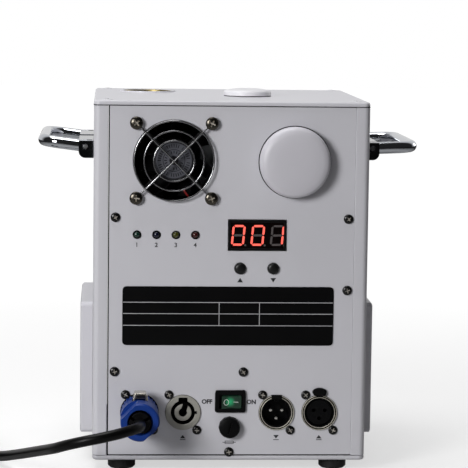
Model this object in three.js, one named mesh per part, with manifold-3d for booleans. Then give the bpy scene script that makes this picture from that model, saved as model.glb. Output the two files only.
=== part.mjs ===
// Cold spark machine: a white sheet-metal housing in which a screw feeds metal granules
// into a heated brass barrel, and a blower throws the sparks out through a nozzle in the lid.
// Millimetres, +Z up. The rear panel, with every connector, faces -Y.

import * as THREE from 'three';
import { mergeVertices } from 'three/addons/utils/BufferGeometryUtils.js';
import Module from 'manifold-3d';

const wasm = await Module();
wasm.setup();

// Housing
const HOUSING_WIDTH = 185;
const HOUSING_DEPTH = 185;
const MACHINE_HEIGHT = 252;
const FOOT_HEIGHT = 8.6;
const SHEET = 1.5;
const CORNER_RADIUS = 4;
const TRAY_LIP = 3.1;
const TRAY_ROUND = 1.4;
const COVER_LIP = 9.6;
const PANEL_RECESS = 0.5;
const PANEL_SEAM = 0.6;
const PANEL_FLANGE = 10;
const GAP = 0.3;
const OVERRUN = 2;

// Feet
const FOOT_RADIUS = 9.5;
const FOOT_SOLE_RADIUS = 8;
const FOOT_INSET = 20;

// Side vents and the air hoods over them
const HOOD_LENGTH = 104;
const HOOD_HEIGHT = 92;
const HOOD_DEPTH = 8.8;
const HOOD_ABOVE_BASE = 10.4;
const HOOD_ROUND = 1.8;
const VENT_LENGTH = 72;
const VENT_HEIGHT = 4;
const VENT_PITCH = 12;
const VENT_COUNT = 5;

// Folding handles
const HANDLE_BELOW_LID = 33.4;
const HANDLE_SPACING = 104;
const HANDLE_BAR_RADIUS = 4.1;
const HANDLE_REACH = 28.6;
const HANDLE_BEND = 12;
const HANDLE_TILT_LEFT = 7;
const HANDLE_TILT_RIGHT = 2.5;
const BLOCK_LENGTH = 52;
const BLOCK_HEIGHT = 12;
const BLOCK_DEPTH = 10.5;
const BLOCK_ROUND = 4.5;
const BLOCK_TOP_ABOVE_PIVOT = 4.2;
const BLOCK_END_WALL = 2.4;
const BLOCK_BACK_WALL = 1.3;
const PIVOT_OUT = 5.9;
const PIN_RADIUS = 1.5;
const PIN_LENGTH = 17;

// Cooling fan and its wire guard
const FAN_BELOW_LID = 40;
const FAN_SIZE = 60;
const FAN_DEPTH = 25;
const FAN_BORE_RADIUS = 28.2;
const FAN_OPENING_RADIUS = 27.5;
const FAN_HOLE_PITCH = 50;
const FAN_HOLE_RADIUS = 2.2;
const FAN_CORNER = 4;
const FAN_HUB_RADIUS = 14.2;
const FAN_STRUT = 3;
const FAN_BLADE_COUNT = 7;
const FAN_BLADE_THICKNESS = 1.4;
const FAN_BLADE_PITCH_DEG = 38;
const GUARD_RING_RADII = [26.7, 20, 13.6];
const GUARD_WIRE_RADIUS = 0.75;
const GUARD_RISE = 3.6;
const GUARD_BEND_RADIUS = 30;
const GUARD_EYE_RADIUS = 3.6;
const FAN_TIP_GAP = 1;

// Service port in the rear panel and its cap
const SERVICE_BELOW_LID = 40.2;
const SERVICE_CAP_RADIUS = 23.8;
const SERVICE_CAP_PROUD = 11.5;
const SERVICE_CAP_ROUND = 3;
const SERVICE_PLUG_LENGTH = 8;
const PORT_BORE_RADIUS = 17;
const PORT_WALL = 2;
const PORT_LENGTH = 18;
const PORT_RIM_RADIUS = 24.2;
const PORT_RIM = 1.2;

// Status lamps, display and buttons, all on the control board
const LAMP_BELOW_LID = 89.8;
const LAMP_COUNT = 4;
const LAMP_RADIUS = 2.5;
const LAMP_COLLAR_RADIUS = 3.1;
const LAMP_PROUD = 1.8;
const LAMP_DOME_SHARE = 0.7;
const DISPLAY_WIDTH = 38.9;
const DISPLAY_HEIGHT = 20.7;
const DISPLAY_PROUD = 0.9;
const DISPLAY_FRAME = 1.6;
const BUTTON_BELOW_LID = 112.3;
const BUTTON_SPACING = 22.3;
const BUTTON_RADIUS = 3.75;
const BUTTON_COLLAR_RADIUS = 5;
const BUTTON_COLLAR = 1;
const BUTTON_PROUD = 2.4;
const BUTTON_TRAVEL = 1.5;
const BOARD_BEHIND_PANEL = 8;
const BOARD_THICKNESS = 1.6;
const BOARD_HEIGHT = 48;
const BOARD_EDGE = 9;
const CHIP_SIZE = 14;
const CHIP_HEIGHT = 2.4;
const TERMINAL_WIDTH = 26;
const TERMINAL_HEIGHT = 8;
const TERMINAL_DEPTH = 10;

// Rating plate
const PLATE_X = -1.6;
const PLATE_THICKNESS = 0.5;
const PLATE_CORNER = 3;
const ADHESIVE = 0.1;

// Round connectors, in one row
const CONNECTOR_ABOVE_BASE = 32.8;
const CONNECTOR_RADIUS = 11.8;
const CONNECTOR_PROUD = 1.2;
const CONNECTOR_DEPTH = 24;
const CONNECTOR_WALL = 1.7;
const CONNECTOR_FLANGE_WIDTH = 26;
const CONNECTOR_FLANGE_HEIGHT = 31;
const CONNECTOR_FLANGE = 2;
const CONNECTOR_SCREW_X = 9.5;
const CONNECTOR_SCREW_Z = 12;
const CONNECTOR_SCREW_RADIUS = 1.6;
const SOCKET_DEPTH = 12;
const OUTLET_CORE_RADIUS = 7.2;
const OUTLET_BORE_RADIUS = 4.6;
const OUTLET_KEY_WIDTH = 4.4;
const CONTACT_CIRCLE = 4.1;
const CONTACT_PIN_RADIUS = 1.2;
const CONTACT_HOLE_RADIUS = 1.6;
const CONTACT_PIN_LENGTH = 9;
const CONTACT_ANGLES_DEG = [160, 20, 270];
const NOTCH_WIDTH = 3.4;
const TAB_WIDTH = 9.4;
const TAB_HEIGHT = 4.5;
const TAB_LENGTH = 5.2;
const TAB_PROUD = 2.3;
const TAB_ABOVE_CENTRE = 14.1;

// Rocker switch
const SWITCH_X = 0.9;
const SWITCH_ABOVE_BASE = 40.2;
const SWITCH_WIDTH = 21.5;
const SWITCH_HEIGHT = 14.3;
const SWITCH_PROUD = 1.9;
const SWITCH_BODY_WIDTH = 19;
const SWITCH_BODY_HEIGHT = 12.6;
const SWITCH_BODY_DEPTH = 15;
const ROCKER_HALF = 6.9;
const ROCKER_HEIGHT = 8.8;
const ROCKER_TIP = 3;
const ROCKER_VALLEY = 1.3;
const ROCKER_HEEL_HALF = 5.2;
const ROCKER_HEEL = 1.5;
const ROCKER_THROW_DEG = 18;
const ROCKER_PIVOT_BEHIND_FACE = 1.6;

// Fuse holder
const FUSE_X = 0.2;
const FUSE_ABOVE_BASE = 22.9;
const FUSE_RIM_RADIUS = 7.4;
const FUSE_RIM = 1.6;
const FUSE_BODY_RADIUS = 6.2;
const FUSE_BODY_DEPTH = 34;
const FUSE_BORE_RADIUS = 4.6;
const FUSE_WALL = 1.5;
const FUSE_CAP_RADIUS = 6.7;
const FUSE_CAP_HEIGHT = 4;
const FUSE_SHANK_LENGTH = 12;
const FUSE_SLOT_WIDTH = 1.3;
const FUSE_SLOT_DEPTH = 1.2;
const FUSE_SLOT_ANGLE_DEG = 14;
const FUSE_SLOT_SHARE = 0.62;

// Spark barrel, heater sleeve and nozzle rim
const NOZZLE_Y = 42;
const NOZZLE_RADIUS = 18;
const NOZZLE_RIM = 2;
const NOZZLE_RIM_HEIGHT = 1;
const BARREL_RADIUS = 17.7;
const BARREL_WALL = 1.5;
const SLEEVE_WALL = 7;
const SLEEVE_GROOVE = 2.4;
const SLEEVE_GROOVE_COUNT = 3;
const SLEEVE_BELOW_LID = 30;
const SLEEVE_ABOVE_FEED = 19.4;

// Hopper, feed tube, feed screw and motor
const HOPPER_Y = -14;
const HOPPER_HALF = 34;
const HOPPER_WALL = 1.6;
const HOPPER_NECK_RADIUS = 15;
const HOPPER_NECK_LENGTH = 12;
const HOPPER_CONE = 36;
const HOPPER_OUTLET_HALF = 8.4;
const HOPPER_CAP_RADIUS = 16.7;
const HOPPER_CAP_RIM = 3.9;
const HOPPER_CAP_DOME = 1.6;
const HOPPER_PLUG_LENGTH = 7;
const HOPPER_CAP_DOME_SHARES = [[0, 1], [0.5, 0.75], [0.88, 0], [1, -0.6]];
const FEED_ABOVE_BASE = 126;
const FEED_TUBE_RADIUS = 12;
const FEED_BORE_RADIUS = 10;
const FEED_TAIL = 22;
const FEED_END_WALL = 2;
const SCREW_RADIUS = 9.3;
const SCREW_CORE_RADIUS = 3;
const SCREW_PITCH = 16;
const SCREW_BLADE = 1.6;
const SCREW_NOSE = 24;
const SCREW_BARE_TIP = 2;
const MOTOR_RADIUS = 17;
const MOTOR_LENGTH = 30;
const GEARBOX_RADIUS = 18;
const GEARBOX_LENGTH = 12;
const COUPLING_RADIUS = 6;
const COUPLING_LENGTH = 4;

// Blower under the barrel
const BLOWER_THICKNESS = 32;
const BLOWER_WALL = 1.8;
const BLOWER_INNER_RADIUS = 26;
const BLOWER_OUTER_RADIUS = 40;
const BLOWER_TONGUE_DEG = 115;
const BLOWER_DUCT_TOP = 45;
const BLOWER_AXIS_ABOVE_BASE = 42;
const BLOWER_INLET_RADIUS = 15;
const BLOWER_PLATE = 38;
const BLOWER_PLATE_THICKNESS = 2;
const BLOWER_FOOT_WIDTH = 40;
const BLOWER_FOOT_RISE = 12;
const BLOWER_SHAFT_RADIUS = 2.5;
const IMPELLER_RADIUS = 21;
const IMPELLER_DEPTH = 22;
const IMPELLER_PLATE = 2;
const IMPELLER_HUB_RADIUS = 6;
const IMPELLER_BLADE_COUNT = 10;
const IMPELLER_BLADE_DEPTH = 5;
const IMPELLER_BLADE_THICKNESS = 1.2;

// Power supply
const SUPPLY_LENGTH = 118;
const SUPPLY_HEIGHT = 38;
const SUPPLY_FROM_SIDE = 6;
const SUPPLY_FROM_FRONT = 13;
const SUPPLY_TERMINALS = 12;

// Power plug, its cable and the stored coil
const PLUG_RADIUS = 11.8;
const PLUG_COLLAR_RADIUS = 12.6;
const PLUG_COLLAR = 12;
const PLUG_LENGTH = 35.5;
const PLUG_NOSE_RADIUS = 9.7;
const PLUG_NOSE = 10;
const PLUG_MOUTH_RADIUS = 7.8;
const PLUG_MOUTH = 9;
const PLUG_FLAT = 10.4;
const PLUG_FLAT_LENGTH = 12;
const PLUG_FLAT_ANGLES_DEG = [135, 315];
const LATCH_WIDTH = 10;
const LATCH_LENGTH = 12;
const LATCH_HEIGHT = 3.4;
const LATCH_SEAT = 2;
const LATCH_TRAVEL = 3;
const LATCH_FROM_PANEL = 9;
const CHUCK_RADIUS = 7.3;
const CHUCK_PROUD = 1.2;
const CORD_RADIUS = 3.5;
const CORD_FLOOR = 3.6;
const COIL_FROM_PLUG = 157.2;
const COIL_Y = -44;
const COIL_RADIUS = 48;
const COIL_PITCH = 7.6;
const COIL_TURNS = 5.436;
const COIL_START_DEG = 23;
const COIL_TAIL = 7;
const COIL_CLIMB_TURNS = 0.5;
const MAINS_RELIEF = 32;
const MAINS_RELIEF_NARROW = 4.5;
const MAINS_RELIEF_WIDE = 7.5;
const MAINS_BODY = 30;
const MAINS_WIDTH = 24;
const MAINS_THICKNESS = 20;
const MAINS_ROUND = 6;
const BLADE_LENGTH = 17;
const BLADE_WIDTH = 6.4;
const BLADE_THICKNESS = 1.5;
const BLADE_SPACING = 12.7;
const EARTH_RADIUS = 2.4;
const EARTH_OFFSET = 7;

// Facets round a circle, by its size
const SMALL_SIDES = 8;
const MEDIUM_SIDES = 12;
const LARGE_SIDES = 24;
const WIRE_SIDES = 5;
const SCROLL_STEPS = 16;
const CORNER_STEPS = 3;
const BAR_SIDES = 8;
const BAR_STEPS = 28;
const HOPPER_SIDES = 4;
const CORD_SIDES = 8;
const CORD_STEPS = 34;
const COIL_SIDES = 6;
const COIL_STEPS_PER_TURN = 24;
const SCREW_STEPS_PER_TURN = 8;

// Shares of the sizes that they follow
const QUARTER_ARC_SHARE = 0.5523;
const FAN_X_SHARE = -0.4216;
const SERVICE_X_SHARE = 0.4519;
const LAMP_FIRST_X_SHARE = -0.6854;
const LAMP_PITCH_SHARE = 0.1411;
const DISPLAY_X_SHARE = 0.1881;
const NOZZLE_X_SHARE = -0.5892;
const HOPPER_X_SHARE = 0.1568;
const SUPPLY_WIDTH_SHARE = 0.3243;
const PLATE_WIDTH_SHARE = 0.8651;
const PLATE_HEIGHT_SHARE = 0.5141;
const PLATE_MIDDLE_SHARE = 0.6491;
const LEFT_CONNECTOR_GAP_SHARES = [0.3694, 0.1794];
const RIGHT_CONNECTOR_GAP_SHARES = [0.3848, 0.1866];

// Heights and planes that many pieces meet
const LID_Z = MACHINE_HEIGHT;
const COVER_LOW = FOOT_HEIGHT + TRAY_LIP + GAP;
const COVER_HIGH = LID_Z - TRAY_LIP - GAP;
const FLOOR_Z = FOOT_HEIGHT + SHEET;
const SIDE_X = HOUSING_WIDTH / 2;
const PANEL_HALF = SIDE_X - COVER_LIP - PANEL_SEAM;
const REAR_Y = -HOUSING_DEPTH / 2;
const PANEL_Y = REAR_Y + PANEL_RECESS;
const PANEL_BACK_Y = PANEL_Y + SHEET;
const CONNECTOR_Z = FOOT_HEIGHT + CONNECTOR_ABOVE_BASE;
const BOARD_Y = PANEL_BACK_Y + BOARD_BEHIND_PANEL;
const LAMP_Z = LID_Z - LAMP_BELOW_LID;
const BUTTON_Z = LID_Z - BUTTON_BELOW_LID;
const PIVOT_Z = LID_Z - HANDLE_BELOW_LID;
const FEED_Z = FOOT_HEIGHT + FEED_ABOVE_BASE;
const CONE_LOW = FEED_Z + FEED_TUBE_RADIUS - HOPPER_WALL;
const CONE_HIGH = CONE_LOW + HOPPER_CONE;
const BLOWER_Z = FOOT_HEIGHT + BLOWER_AXIS_ABOVE_BASE;
const FAN_X = SIDE_X * FAN_X_SHARE;
const SERVICE_X = SIDE_X * SERVICE_X_SHARE;
const LAMP_FIRST_X = SIDE_X * LAMP_FIRST_X_SHARE;
const LAMP_PITCH = SIDE_X * LAMP_PITCH_SHARE;
const DISPLAY_X = SIDE_X * DISPLAY_X_SHARE;
const NOZZLE_X = SIDE_X * NOZZLE_X_SHARE;
const HOPPER_X = SIDE_X * HOPPER_X_SHARE;
const SUPPLY_WIDTH = HOUSING_WIDTH * SUPPLY_WIDTH_SHARE;

// The rating plate fills part of the field between the buttons and the connectors
const PLATE_FIELD_LOW = CONNECTOR_Z + CONNECTOR_FLANGE_HEIGHT / 2;
const PLATE_FIELD = BUTTON_Z - BUTTON_COLLAR_RADIUS - PLATE_FIELD_LOW;
const PLATE_Z = PLATE_FIELD_LOW + PLATE_FIELD * PLATE_MIDDLE_SHARE;
const PLATE_HEIGHT = PLATE_FIELD * PLATE_HEIGHT_SHARE;
const PLATE_WIDTH = 2 * PANEL_HALF * PLATE_WIDTH_SHARE;

// Two connectors on each side of the switch share the room out to the panel's flange
const ROOM_END = PANEL_HALF - SHEET;
const LEFT_SPARE = ROOM_END + SWITCH_X - SWITCH_WIDTH / 2 - 2 * CONNECTOR_FLANGE_WIDTH;
const RIGHT_SPARE = ROOM_END - SWITCH_X - SWITCH_WIDTH / 2 - 2 * CONNECTOR_FLANGE_WIDTH;
const LEFT_GAPS = LEFT_CONNECTOR_GAP_SHARES.map((share) => LEFT_SPARE * share);
const RIGHT_GAPS = RIGHT_CONNECTOR_GAP_SHARES.map((share) => RIGHT_SPARE * share);
const POWER_IN_X = LEFT_GAPS[0] + CONNECTOR_FLANGE_WIDTH / 2 - ROOM_END;
const POWER_OUT_X = POWER_IN_X + CONNECTOR_FLANGE_WIDTH + LEFT_GAPS[1];
const DATA_OUT_X = ROOM_END - CONNECTOR_FLANGE_WIDTH / 2 - RIGHT_GAPS[0];
const DATA_IN_X = DATA_OUT_X - CONNECTOR_FLANGE_WIDTH - RIGHT_GAPS[1];
const COIL_X = POWER_IN_X - COIL_FROM_PLUG;

// The blower's duct comes up under the barrel
const TONGUE_X = BLOWER_INNER_RADIUS * Math.cos(radians(BLOWER_TONGUE_DEG));
const DUCT_X = (TONGUE_X - BLOWER_OUTER_RADIUS) / 2;
const BLOWER_X = NOZZLE_X - DUCT_X;
const BARREL_LOW = BLOWER_Z + BLOWER_DUCT_TOP + BLOWER_PLATE_THICKNESS + GAP;
const SLEEVE_LOW = FEED_Z + FEED_TUBE_RADIUS + SLEEVE_ABOVE_FEED;
const SLEEVE_LENGTH = LID_Z - SLEEVE_BELOW_LID - SLEEVE_LOW;

function radians(degrees) {
  return THREE.MathUtils.degToRad(degrees);
}

// Solids: closed geometry in, joins and cuts, closed geometry out
function solid(geometry) {
  const bare = geometry.clone();
  for (const name of ['normal', 'uv']) bare.deleteAttribute(name);
  const welded = mergeVertices(bare, 1e-4);
  const index = welded.index.array;
  const faces = [];
  for (let i = 0; i < index.length; i += 3) {
    const [a, b, c] = index.slice(i, i + 3);
    if (a !== b && b !== c && c !== a) faces.push(a, b, c);
  }
  const mesh = new wasm.Mesh({
    numProp: 3,
    vertProperties: new Float32Array(welded.attributes.position.array),
    triVerts: new Uint32Array(faces),
  });
  return new wasm.Manifold(mesh);
}

function join(...parts) {
  return parts.reduce((whole, part) => whole.add(part));
}

function cut(body, ...tools) {
  return tools.reduce((whole, tool) => whole.subtract(tool), body);
}

function geometryOf(body) {
  const mesh = body.getMesh();
  const geometry = new THREE.BufferGeometry();
  geometry.setAttribute('position', new THREE.BufferAttribute(mesh.vertProperties, 3));
  geometry.setIndex(new THREE.BufferAttribute(mesh.triVerts, 1));
  return geometry;
}

// Primitives, each set down where it is wanted
function box(low, high) {
  const size = high.map((value, axis) => value - low[axis]);
  const geometry = new THREE.BoxGeometry(...size);
  geometry.translate(...size.map((value, axis) => low[axis] + value / 2));
  return solid(geometry);
}

function upright(radius, low, high, x, y, sides) {
  const geometry = new THREE.CylinderGeometry(radius, radius, high - low, sides);
  geometry.rotateX(radians(90)).translate(x, y, (low + high) / 2);
  return solid(geometry);
}

function along(radius, yLow, yHigh, x, z, sides) {
  const geometry = new THREE.CylinderGeometry(radius, radius, yHigh - yLow, sides);
  geometry.translate(x, (yLow + yHigh) / 2, z);
  return solid(geometry);
}

// A turned piece about the Z axis, from a closed outline of [radius, height] points
function turned(outline, sides) {
  const points = outline.map(([radius, height]) => new THREE.Vector2(radius, height));
  const geometry = new THREE.LatheGeometry(points, sides);
  geometry.rotateX(radians(90));
  return oriented(geometry);
}

// The same with its axis along -Y, for what stands out of the rear panel
function turnedRearward(outline, sides, x, y, z) {
  const points = outline.map(([radius, height]) => new THREE.Vector2(radius, height));
  const geometry = new THREE.LatheGeometry(points, sides);
  geometry.rotateX(radians(180)).translate(x, y, z);
  return oriented(geometry);
}

// An outline drawn clockwise gives faces that point inward: they are turned round
function oriented(geometry) {
  const flipped = geometry.clone();
  const index = flipped.index.array;
  for (let i = 0; i < index.length; i += 3) {
    [index[i], index[i + 1]] = [index[i + 1], index[i]];
  }
  return signedVolume(geometry) > 0 ? solid(geometry) : solid(flipped);
}

function signedVolume(geometry) {
  const points = geometry.attributes.position;
  const index = geometry.index.array;
  const [a, b, c] = [new THREE.Vector3(), new THREE.Vector3(), new THREE.Vector3()];
  let total = 0;
  for (let i = 0; i < index.length; i += 3) {
    a.fromBufferAttribute(points, index[i]);
    b.fromBufferAttribute(points, index[i + 1]);
    c.fromBufferAttribute(points, index[i + 2]);
    total += a.dot(b.cross(c)) / 6;
  }
  return total;
}

function roundedRectangle(width, height, radius) {
  const shape = new THREE.Shape();
  const [x, y] = [width / 2 - radius, height / 2 - radius];
  shape.absarc(x, y, radius, 0, radians(90));
  shape.absarc(-x, y, radius, radians(90), radians(180));
  shape.absarc(-x, -y, radius, radians(180), radians(270));
  shape.absarc(x, -y, radius, radians(270), radians(360));
  return shape;
}

function extruded(shape, height) {
  const settings = { depth: height, bevelEnabled: false, curveSegments: CORNER_STEPS };
  return solid(new THREE.ExtrudeGeometry(shape, settings));
}

function roundedSlab(width, height, corner, depth, round) {
  const shape = roundedRectangle(width, height, corner);
  const settings = {
    depth: depth - round,
    bevelThickness: round,
    bevelSize: round,
    bevelOffset: -round,
    bevelSegments: CORNER_STEPS - 1,
    curveSegments: CORNER_STEPS,
  };
  const slab = solid(new THREE.ExtrudeGeometry(shape, settings));
  const reach = width + height;
  return cut(slab, box([-reach, -reach, -reach], [reach, reach, 0]));
}

// A flat shape in X and Z, standing upright and facing -Y, its front face at y
function facing(shape, y, depth) {
  const settings = { depth, bevelEnabled: false, curveSegments: CORNER_STEPS };
  const geometry = new THREE.ExtrudeGeometry(shape, settings);
  geometry.rotateX(radians(90)).translate(0, y + depth, 0);
  return solid(geometry);
}

// A tube with flat ends through a list of points, its first ring level with the floor
function sweep(points, section) {
  const up = new THREE.Vector3(0, 0, 1);
  const corners = section.length;
  const positions = [];
  const index = [];
  points.forEach((point, step) => {
    const before = points[Math.max(step - 1, 0)];
    const after = points[Math.min(step + 1, points.length - 1)];
    const tangent = after.clone().sub(before).normalize();
    const side = tangent.clone().cross(up).normalize();
    const rise = side.clone().cross(tangent);
    for (const [across, above] of section) {
      const corner = point.clone().addScaledVector(side, across).addScaledVector(rise, above);
      positions.push(corner.x, corner.y, corner.z);
    }
  });
  for (let step = 0; step + 1 < points.length; step += 1) {
    for (let corner = 0; corner < corners; corner += 1) {
      const next = (corner + 1) % corners;
      const [a, b] = [step * corners + corner, step * corners + next];
      index.push(a, b, a + corners, b, b + corners, a + corners);
    }
  }
  const last = (points.length - 1) * corners;
  for (let corner = 1; corner + 1 < corners; corner += 1) {
    index.push(0, corner + 1, corner);
    index.push(last, last + corner, last + corner + 1);
  }
  const geometry = new THREE.BufferGeometry();
  geometry.setAttribute('position', new THREE.Float32BufferAttribute(positions, 3));
  geometry.setIndex(index);
  return geometry;
}

function circleSection(radius, sides) {
  return Array.from({ length: sides }, (unused, corner) => {
    const angle = radians((360 * corner) / sides);
    return [radius * Math.cos(angle), radius * Math.sin(angle)];
  });
}

// Finishes
function finish(color, roughness, metalness) {
  return { color, roughness, metalness };
}
const POWDER_COAT = finish(0xdedee2, 0.45, 0);
const CHROME = finish(0xd4d6d9, 0.12, 1);
const NICKEL = finish(0xb6b4ac, 0.28, 1);
const BRASS = finish(0xb8964a, 0.3, 1);
const STEEL = finish(0x9a9da0, 0.4, 1);
const BLACK_PLASTIC = finish(0x141416, 0.45, 0);
const GREY_PLASTIC = finish(0xa2a29c, 0.5, 0);
const WHITE_PLASTIC = finish(0xe2e1e4, 0.4, 0);
const BLACK_RUBBER = finish(0x101011, 0.6, 0);
const BLUE_PLASTIC = finish(0x1f4fae, 0.4, 0);
const CERAMIC = finish(0xc9c0ad, 0.8, 0);
const BOARD_GREEN = finish(0x1d5a34, 0.5, 0);
const PLATE_BLACK = finish(0x0c0c0d, 0.4, 0);
const LAMP_FINISHES = [0x1c4a34, 0x1b2547, 0x6d6a1c, 0x5a1d1b].map((color) => finish(color, 0.25, 0));
const ROCKER_GREEN = finish(0x0f7a3c, 0.25, 0);

const machine = new THREE.Group();

function add(name, shape, look, parent = machine) {
  const geometry = shape instanceof THREE.BufferGeometry ? shape : geometryOf(shape);
  const material = new THREE.MeshStandardMaterial(look);
  const mesh = new THREE.Mesh(geometry, material);
  mesh.name = name;
  parent.add(mesh);
  return mesh;
}

// Lid and base: shallow trays, one face down and one face up
function tray() {
  const outside = roundedSlab(HOUSING_WIDTH, HOUSING_DEPTH, CORNER_RADIUS, TRAY_LIP, TRAY_ROUND);
  const [width, depth] = [HOUSING_WIDTH - 2 * SHEET, HOUSING_DEPTH - 2 * SHEET];
  const inside = roundedRectangle(width, depth, CORNER_RADIUS - SHEET);
  const hollow = extruded(inside, TRAY_LIP - SHEET + OVERRUN).translate(0, 0, -OVERRUN);
  return cut(outside, hollow);
}

function topLid() {
  const collarHigh = LID_Z + NOZZLE_RIM_HEIGHT;
  const rim = NOZZLE_RADIUS + NOZZLE_RIM;
  const collar = upright(rim, LID_Z - SHEET, collarHigh, NOZZLE_X, NOZZLE_Y, LARGE_SIDES);
  const lid = join(tray().translate(0, 0, LID_Z - TRAY_LIP), collar);
  const [low, high] = [LID_Z - TRAY_LIP - OVERRUN, collarHigh + OVERRUN];
  const nozzle = upright(NOZZLE_RADIUS, low, high, NOZZLE_X, NOZZLE_Y, LARGE_SIDES);
  const neck = upright(HOPPER_NECK_RADIUS + GAP, low, high, HOPPER_X, HOPPER_Y, LARGE_SIDES);
  return cut(lid, nozzle, neck);
}

function baseTray() {
  return tray().rotate(180, 0, 0).translate(0, 0, FOOT_HEIGHT + TRAY_LIP);
}

function foot() {
  const high = FOOT_HEIGHT - GAP;
  const chamfer = FOOT_RADIUS - FOOT_SOLE_RADIUS;
  const outline = [[0, 0], [FOOT_SOLE_RADIUS, 0], [FOOT_RADIUS, chamfer], [FOOT_RADIUS, high], [0, high]];
  return turned(outline, MEDIUM_SIDES);
}

// Side covers: the housing's four-sided skin, of which each cover keeps one side and its lips
function sideCover(side) {
  const height = COVER_HIGH - COVER_LOW;
  const outside = extruded(roundedRectangle(HOUSING_WIDTH, HOUSING_DEPTH, CORNER_RADIUS), height);
  const [width, depth] = [HOUSING_WIDTH - 2 * SHEET, HOUSING_DEPTH - 2 * SHEET];
  const insideShape = roundedRectangle(width, depth, CORNER_RADIUS - SHEET);
  const inside = extruded(insideShape, height + 2 * OVERRUN).translate(0, 0, -OVERRUN);
  const reach = HOUSING_DEPTH;
  const edge = SIDE_X - COVER_LIP;
  const rest = box([-reach, -reach, -OVERRUN], [edge, reach, height + OVERRUN]);
  const cover = cut(outside, inside, side > 0 ? rest : rest.mirror([1, 0, 0])).translate(0, 0, COVER_LOW);
  const vents = [];
  const middle = HOOD_ABOVE_BASE + FOOT_HEIGHT + HOOD_HEIGHT / 2;
  for (let row = 0; row < VENT_COUNT; row += 1) {
    const z = middle + (row - (VENT_COUNT - 1) / 2) * VENT_PITCH;
    const [inner, outer] = [SIDE_X - SHEET - OVERRUN, SIDE_X + OVERRUN];
    const low = [Math.min(side * inner, side * outer), -VENT_LENGTH / 2, z - VENT_HEIGHT / 2];
    const high = [Math.max(side * inner, side * outer), VENT_LENGTH / 2, z + VENT_HEIGHT / 2];
    vents.push(box(low, high));
  }
  return cut(cover, ...vents);
}

// Air hood: a pressed cover, open at the bottom and towards the vents
function airHood() {
  const shell = roundedSlab(HOOD_HEIGHT, HOOD_LENGTH, HOOD_ROUND + SHEET, HOOD_DEPTH - GAP, HOOD_ROUND);
  const standing = shell.rotate(0, 90, 0).translate(SIDE_X + GAP, 0, 0);
  const half = HOOD_LENGTH / 2 - SHEET;
  const low = [SIDE_X - OVERRUN, -half, -HOOD_HEIGHT / 2 - OVERRUN];
  const high = [SIDE_X + HOOD_DEPTH - SHEET, half, HOOD_HEIGHT / 2 - SHEET];
  return cut(standing, box(low, high)).translate(0, 0, FOOT_HEIGHT + HOOD_ABOVE_BASE + HOOD_HEIGHT / 2);
}

// Flat panels between the covers' lips, each with a return flange at its two edges
function panelOutline() {
  const shape = new THREE.Shape();
  shape.moveTo(-PANEL_HALF, COVER_LOW);
  shape.lineTo(PANEL_HALF, COVER_LOW);
  shape.lineTo(PANEL_HALF, COVER_HIGH);
  shape.lineTo(-PANEL_HALF, COVER_HIGH);
  shape.closePath();
  return shape;
}

function circleHole(x, z, radius, sides) {
  const points = circleSection(radius, sides).map(([u, v]) => new THREE.Vector2(x + u, z + v));
  return new THREE.Path(points);
}

function rectangleHole(x, z, width, height) {
  const [u, v] = [width / 2, height / 2];
  const corners = [[-u, -v], [u, -v], [u, v], [-u, v]];
  return new THREE.Path(corners.map(([dx, dz]) => new THREE.Vector2(x + dx, z + dz)));
}

function flangedPanel(shape) {
  const plate = facing(shape, PANEL_Y, SHEET);
  const y = [PANEL_BACK_Y - SHEET / 2, PANEL_BACK_Y + PANEL_FLANGE];
  const flange = box([PANEL_HALF - SHEET, y[0], COVER_LOW], [PANEL_HALF, y[1], COVER_HIGH]);
  return join(plate, flange, flange.mirror([1, 0, 0]));
}

function rearPanel() {
  const shape = panelOutline();
  const fit = GAP;
  const fanZ = LID_Z - FAN_BELOW_LID;
  const serviceZ = LID_Z - SERVICE_BELOW_LID;
  shape.holes.push(circleHole(FAN_X, fanZ, FAN_OPENING_RADIUS, LARGE_SIDES));
  shape.holes.push(circleHole(SERVICE_X, serviceZ, PORT_BORE_RADIUS + PORT_WALL + fit, LARGE_SIDES));
  for (let lamp = 0; lamp < LAMP_COUNT; lamp += 1) {
    const x = LAMP_FIRST_X + lamp * LAMP_PITCH;
    shape.holes.push(circleHole(x, LAMP_Z, LAMP_RADIUS + fit, SMALL_SIDES));
  }
  for (const side of [-1, 1]) {
    const x = DISPLAY_X + (side * BUTTON_SPACING) / 2;
    shape.holes.push(circleHole(x, BUTTON_Z, BUTTON_RADIUS + fit, MEDIUM_SIDES));
  }
  shape.holes.push(rectangleHole(DISPLAY_X, LAMP_Z, DISPLAY_WIDTH + 2 * fit, DISPLAY_HEIGHT + 2 * fit));
  for (const x of [POWER_IN_X, POWER_OUT_X, DATA_IN_X, DATA_OUT_X]) {
    shape.holes.push(circleHole(x, CONNECTOR_Z, CONNECTOR_RADIUS + fit, LARGE_SIDES));
  }
  const switchZ = FOOT_HEIGHT + SWITCH_ABOVE_BASE;
  const [width, height] = [SWITCH_BODY_WIDTH + 2 * fit, SWITCH_BODY_HEIGHT + 2 * fit];
  shape.holes.push(rectangleHole(SWITCH_X, switchZ, width, height));
  shape.holes.push(circleHole(FUSE_X, FOOT_HEIGHT + FUSE_ABOVE_BASE, FUSE_BODY_RADIUS + fit, MEDIUM_SIDES));
  return cut(flangedPanel(shape), tabSlot(PANEL_Y - OVERRUN, PANEL_BACK_Y + OVERRUN));
}

function frontPanel() {
  return flangedPanel(panelOutline()).mirror([0, 1, 0]);
}

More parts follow.
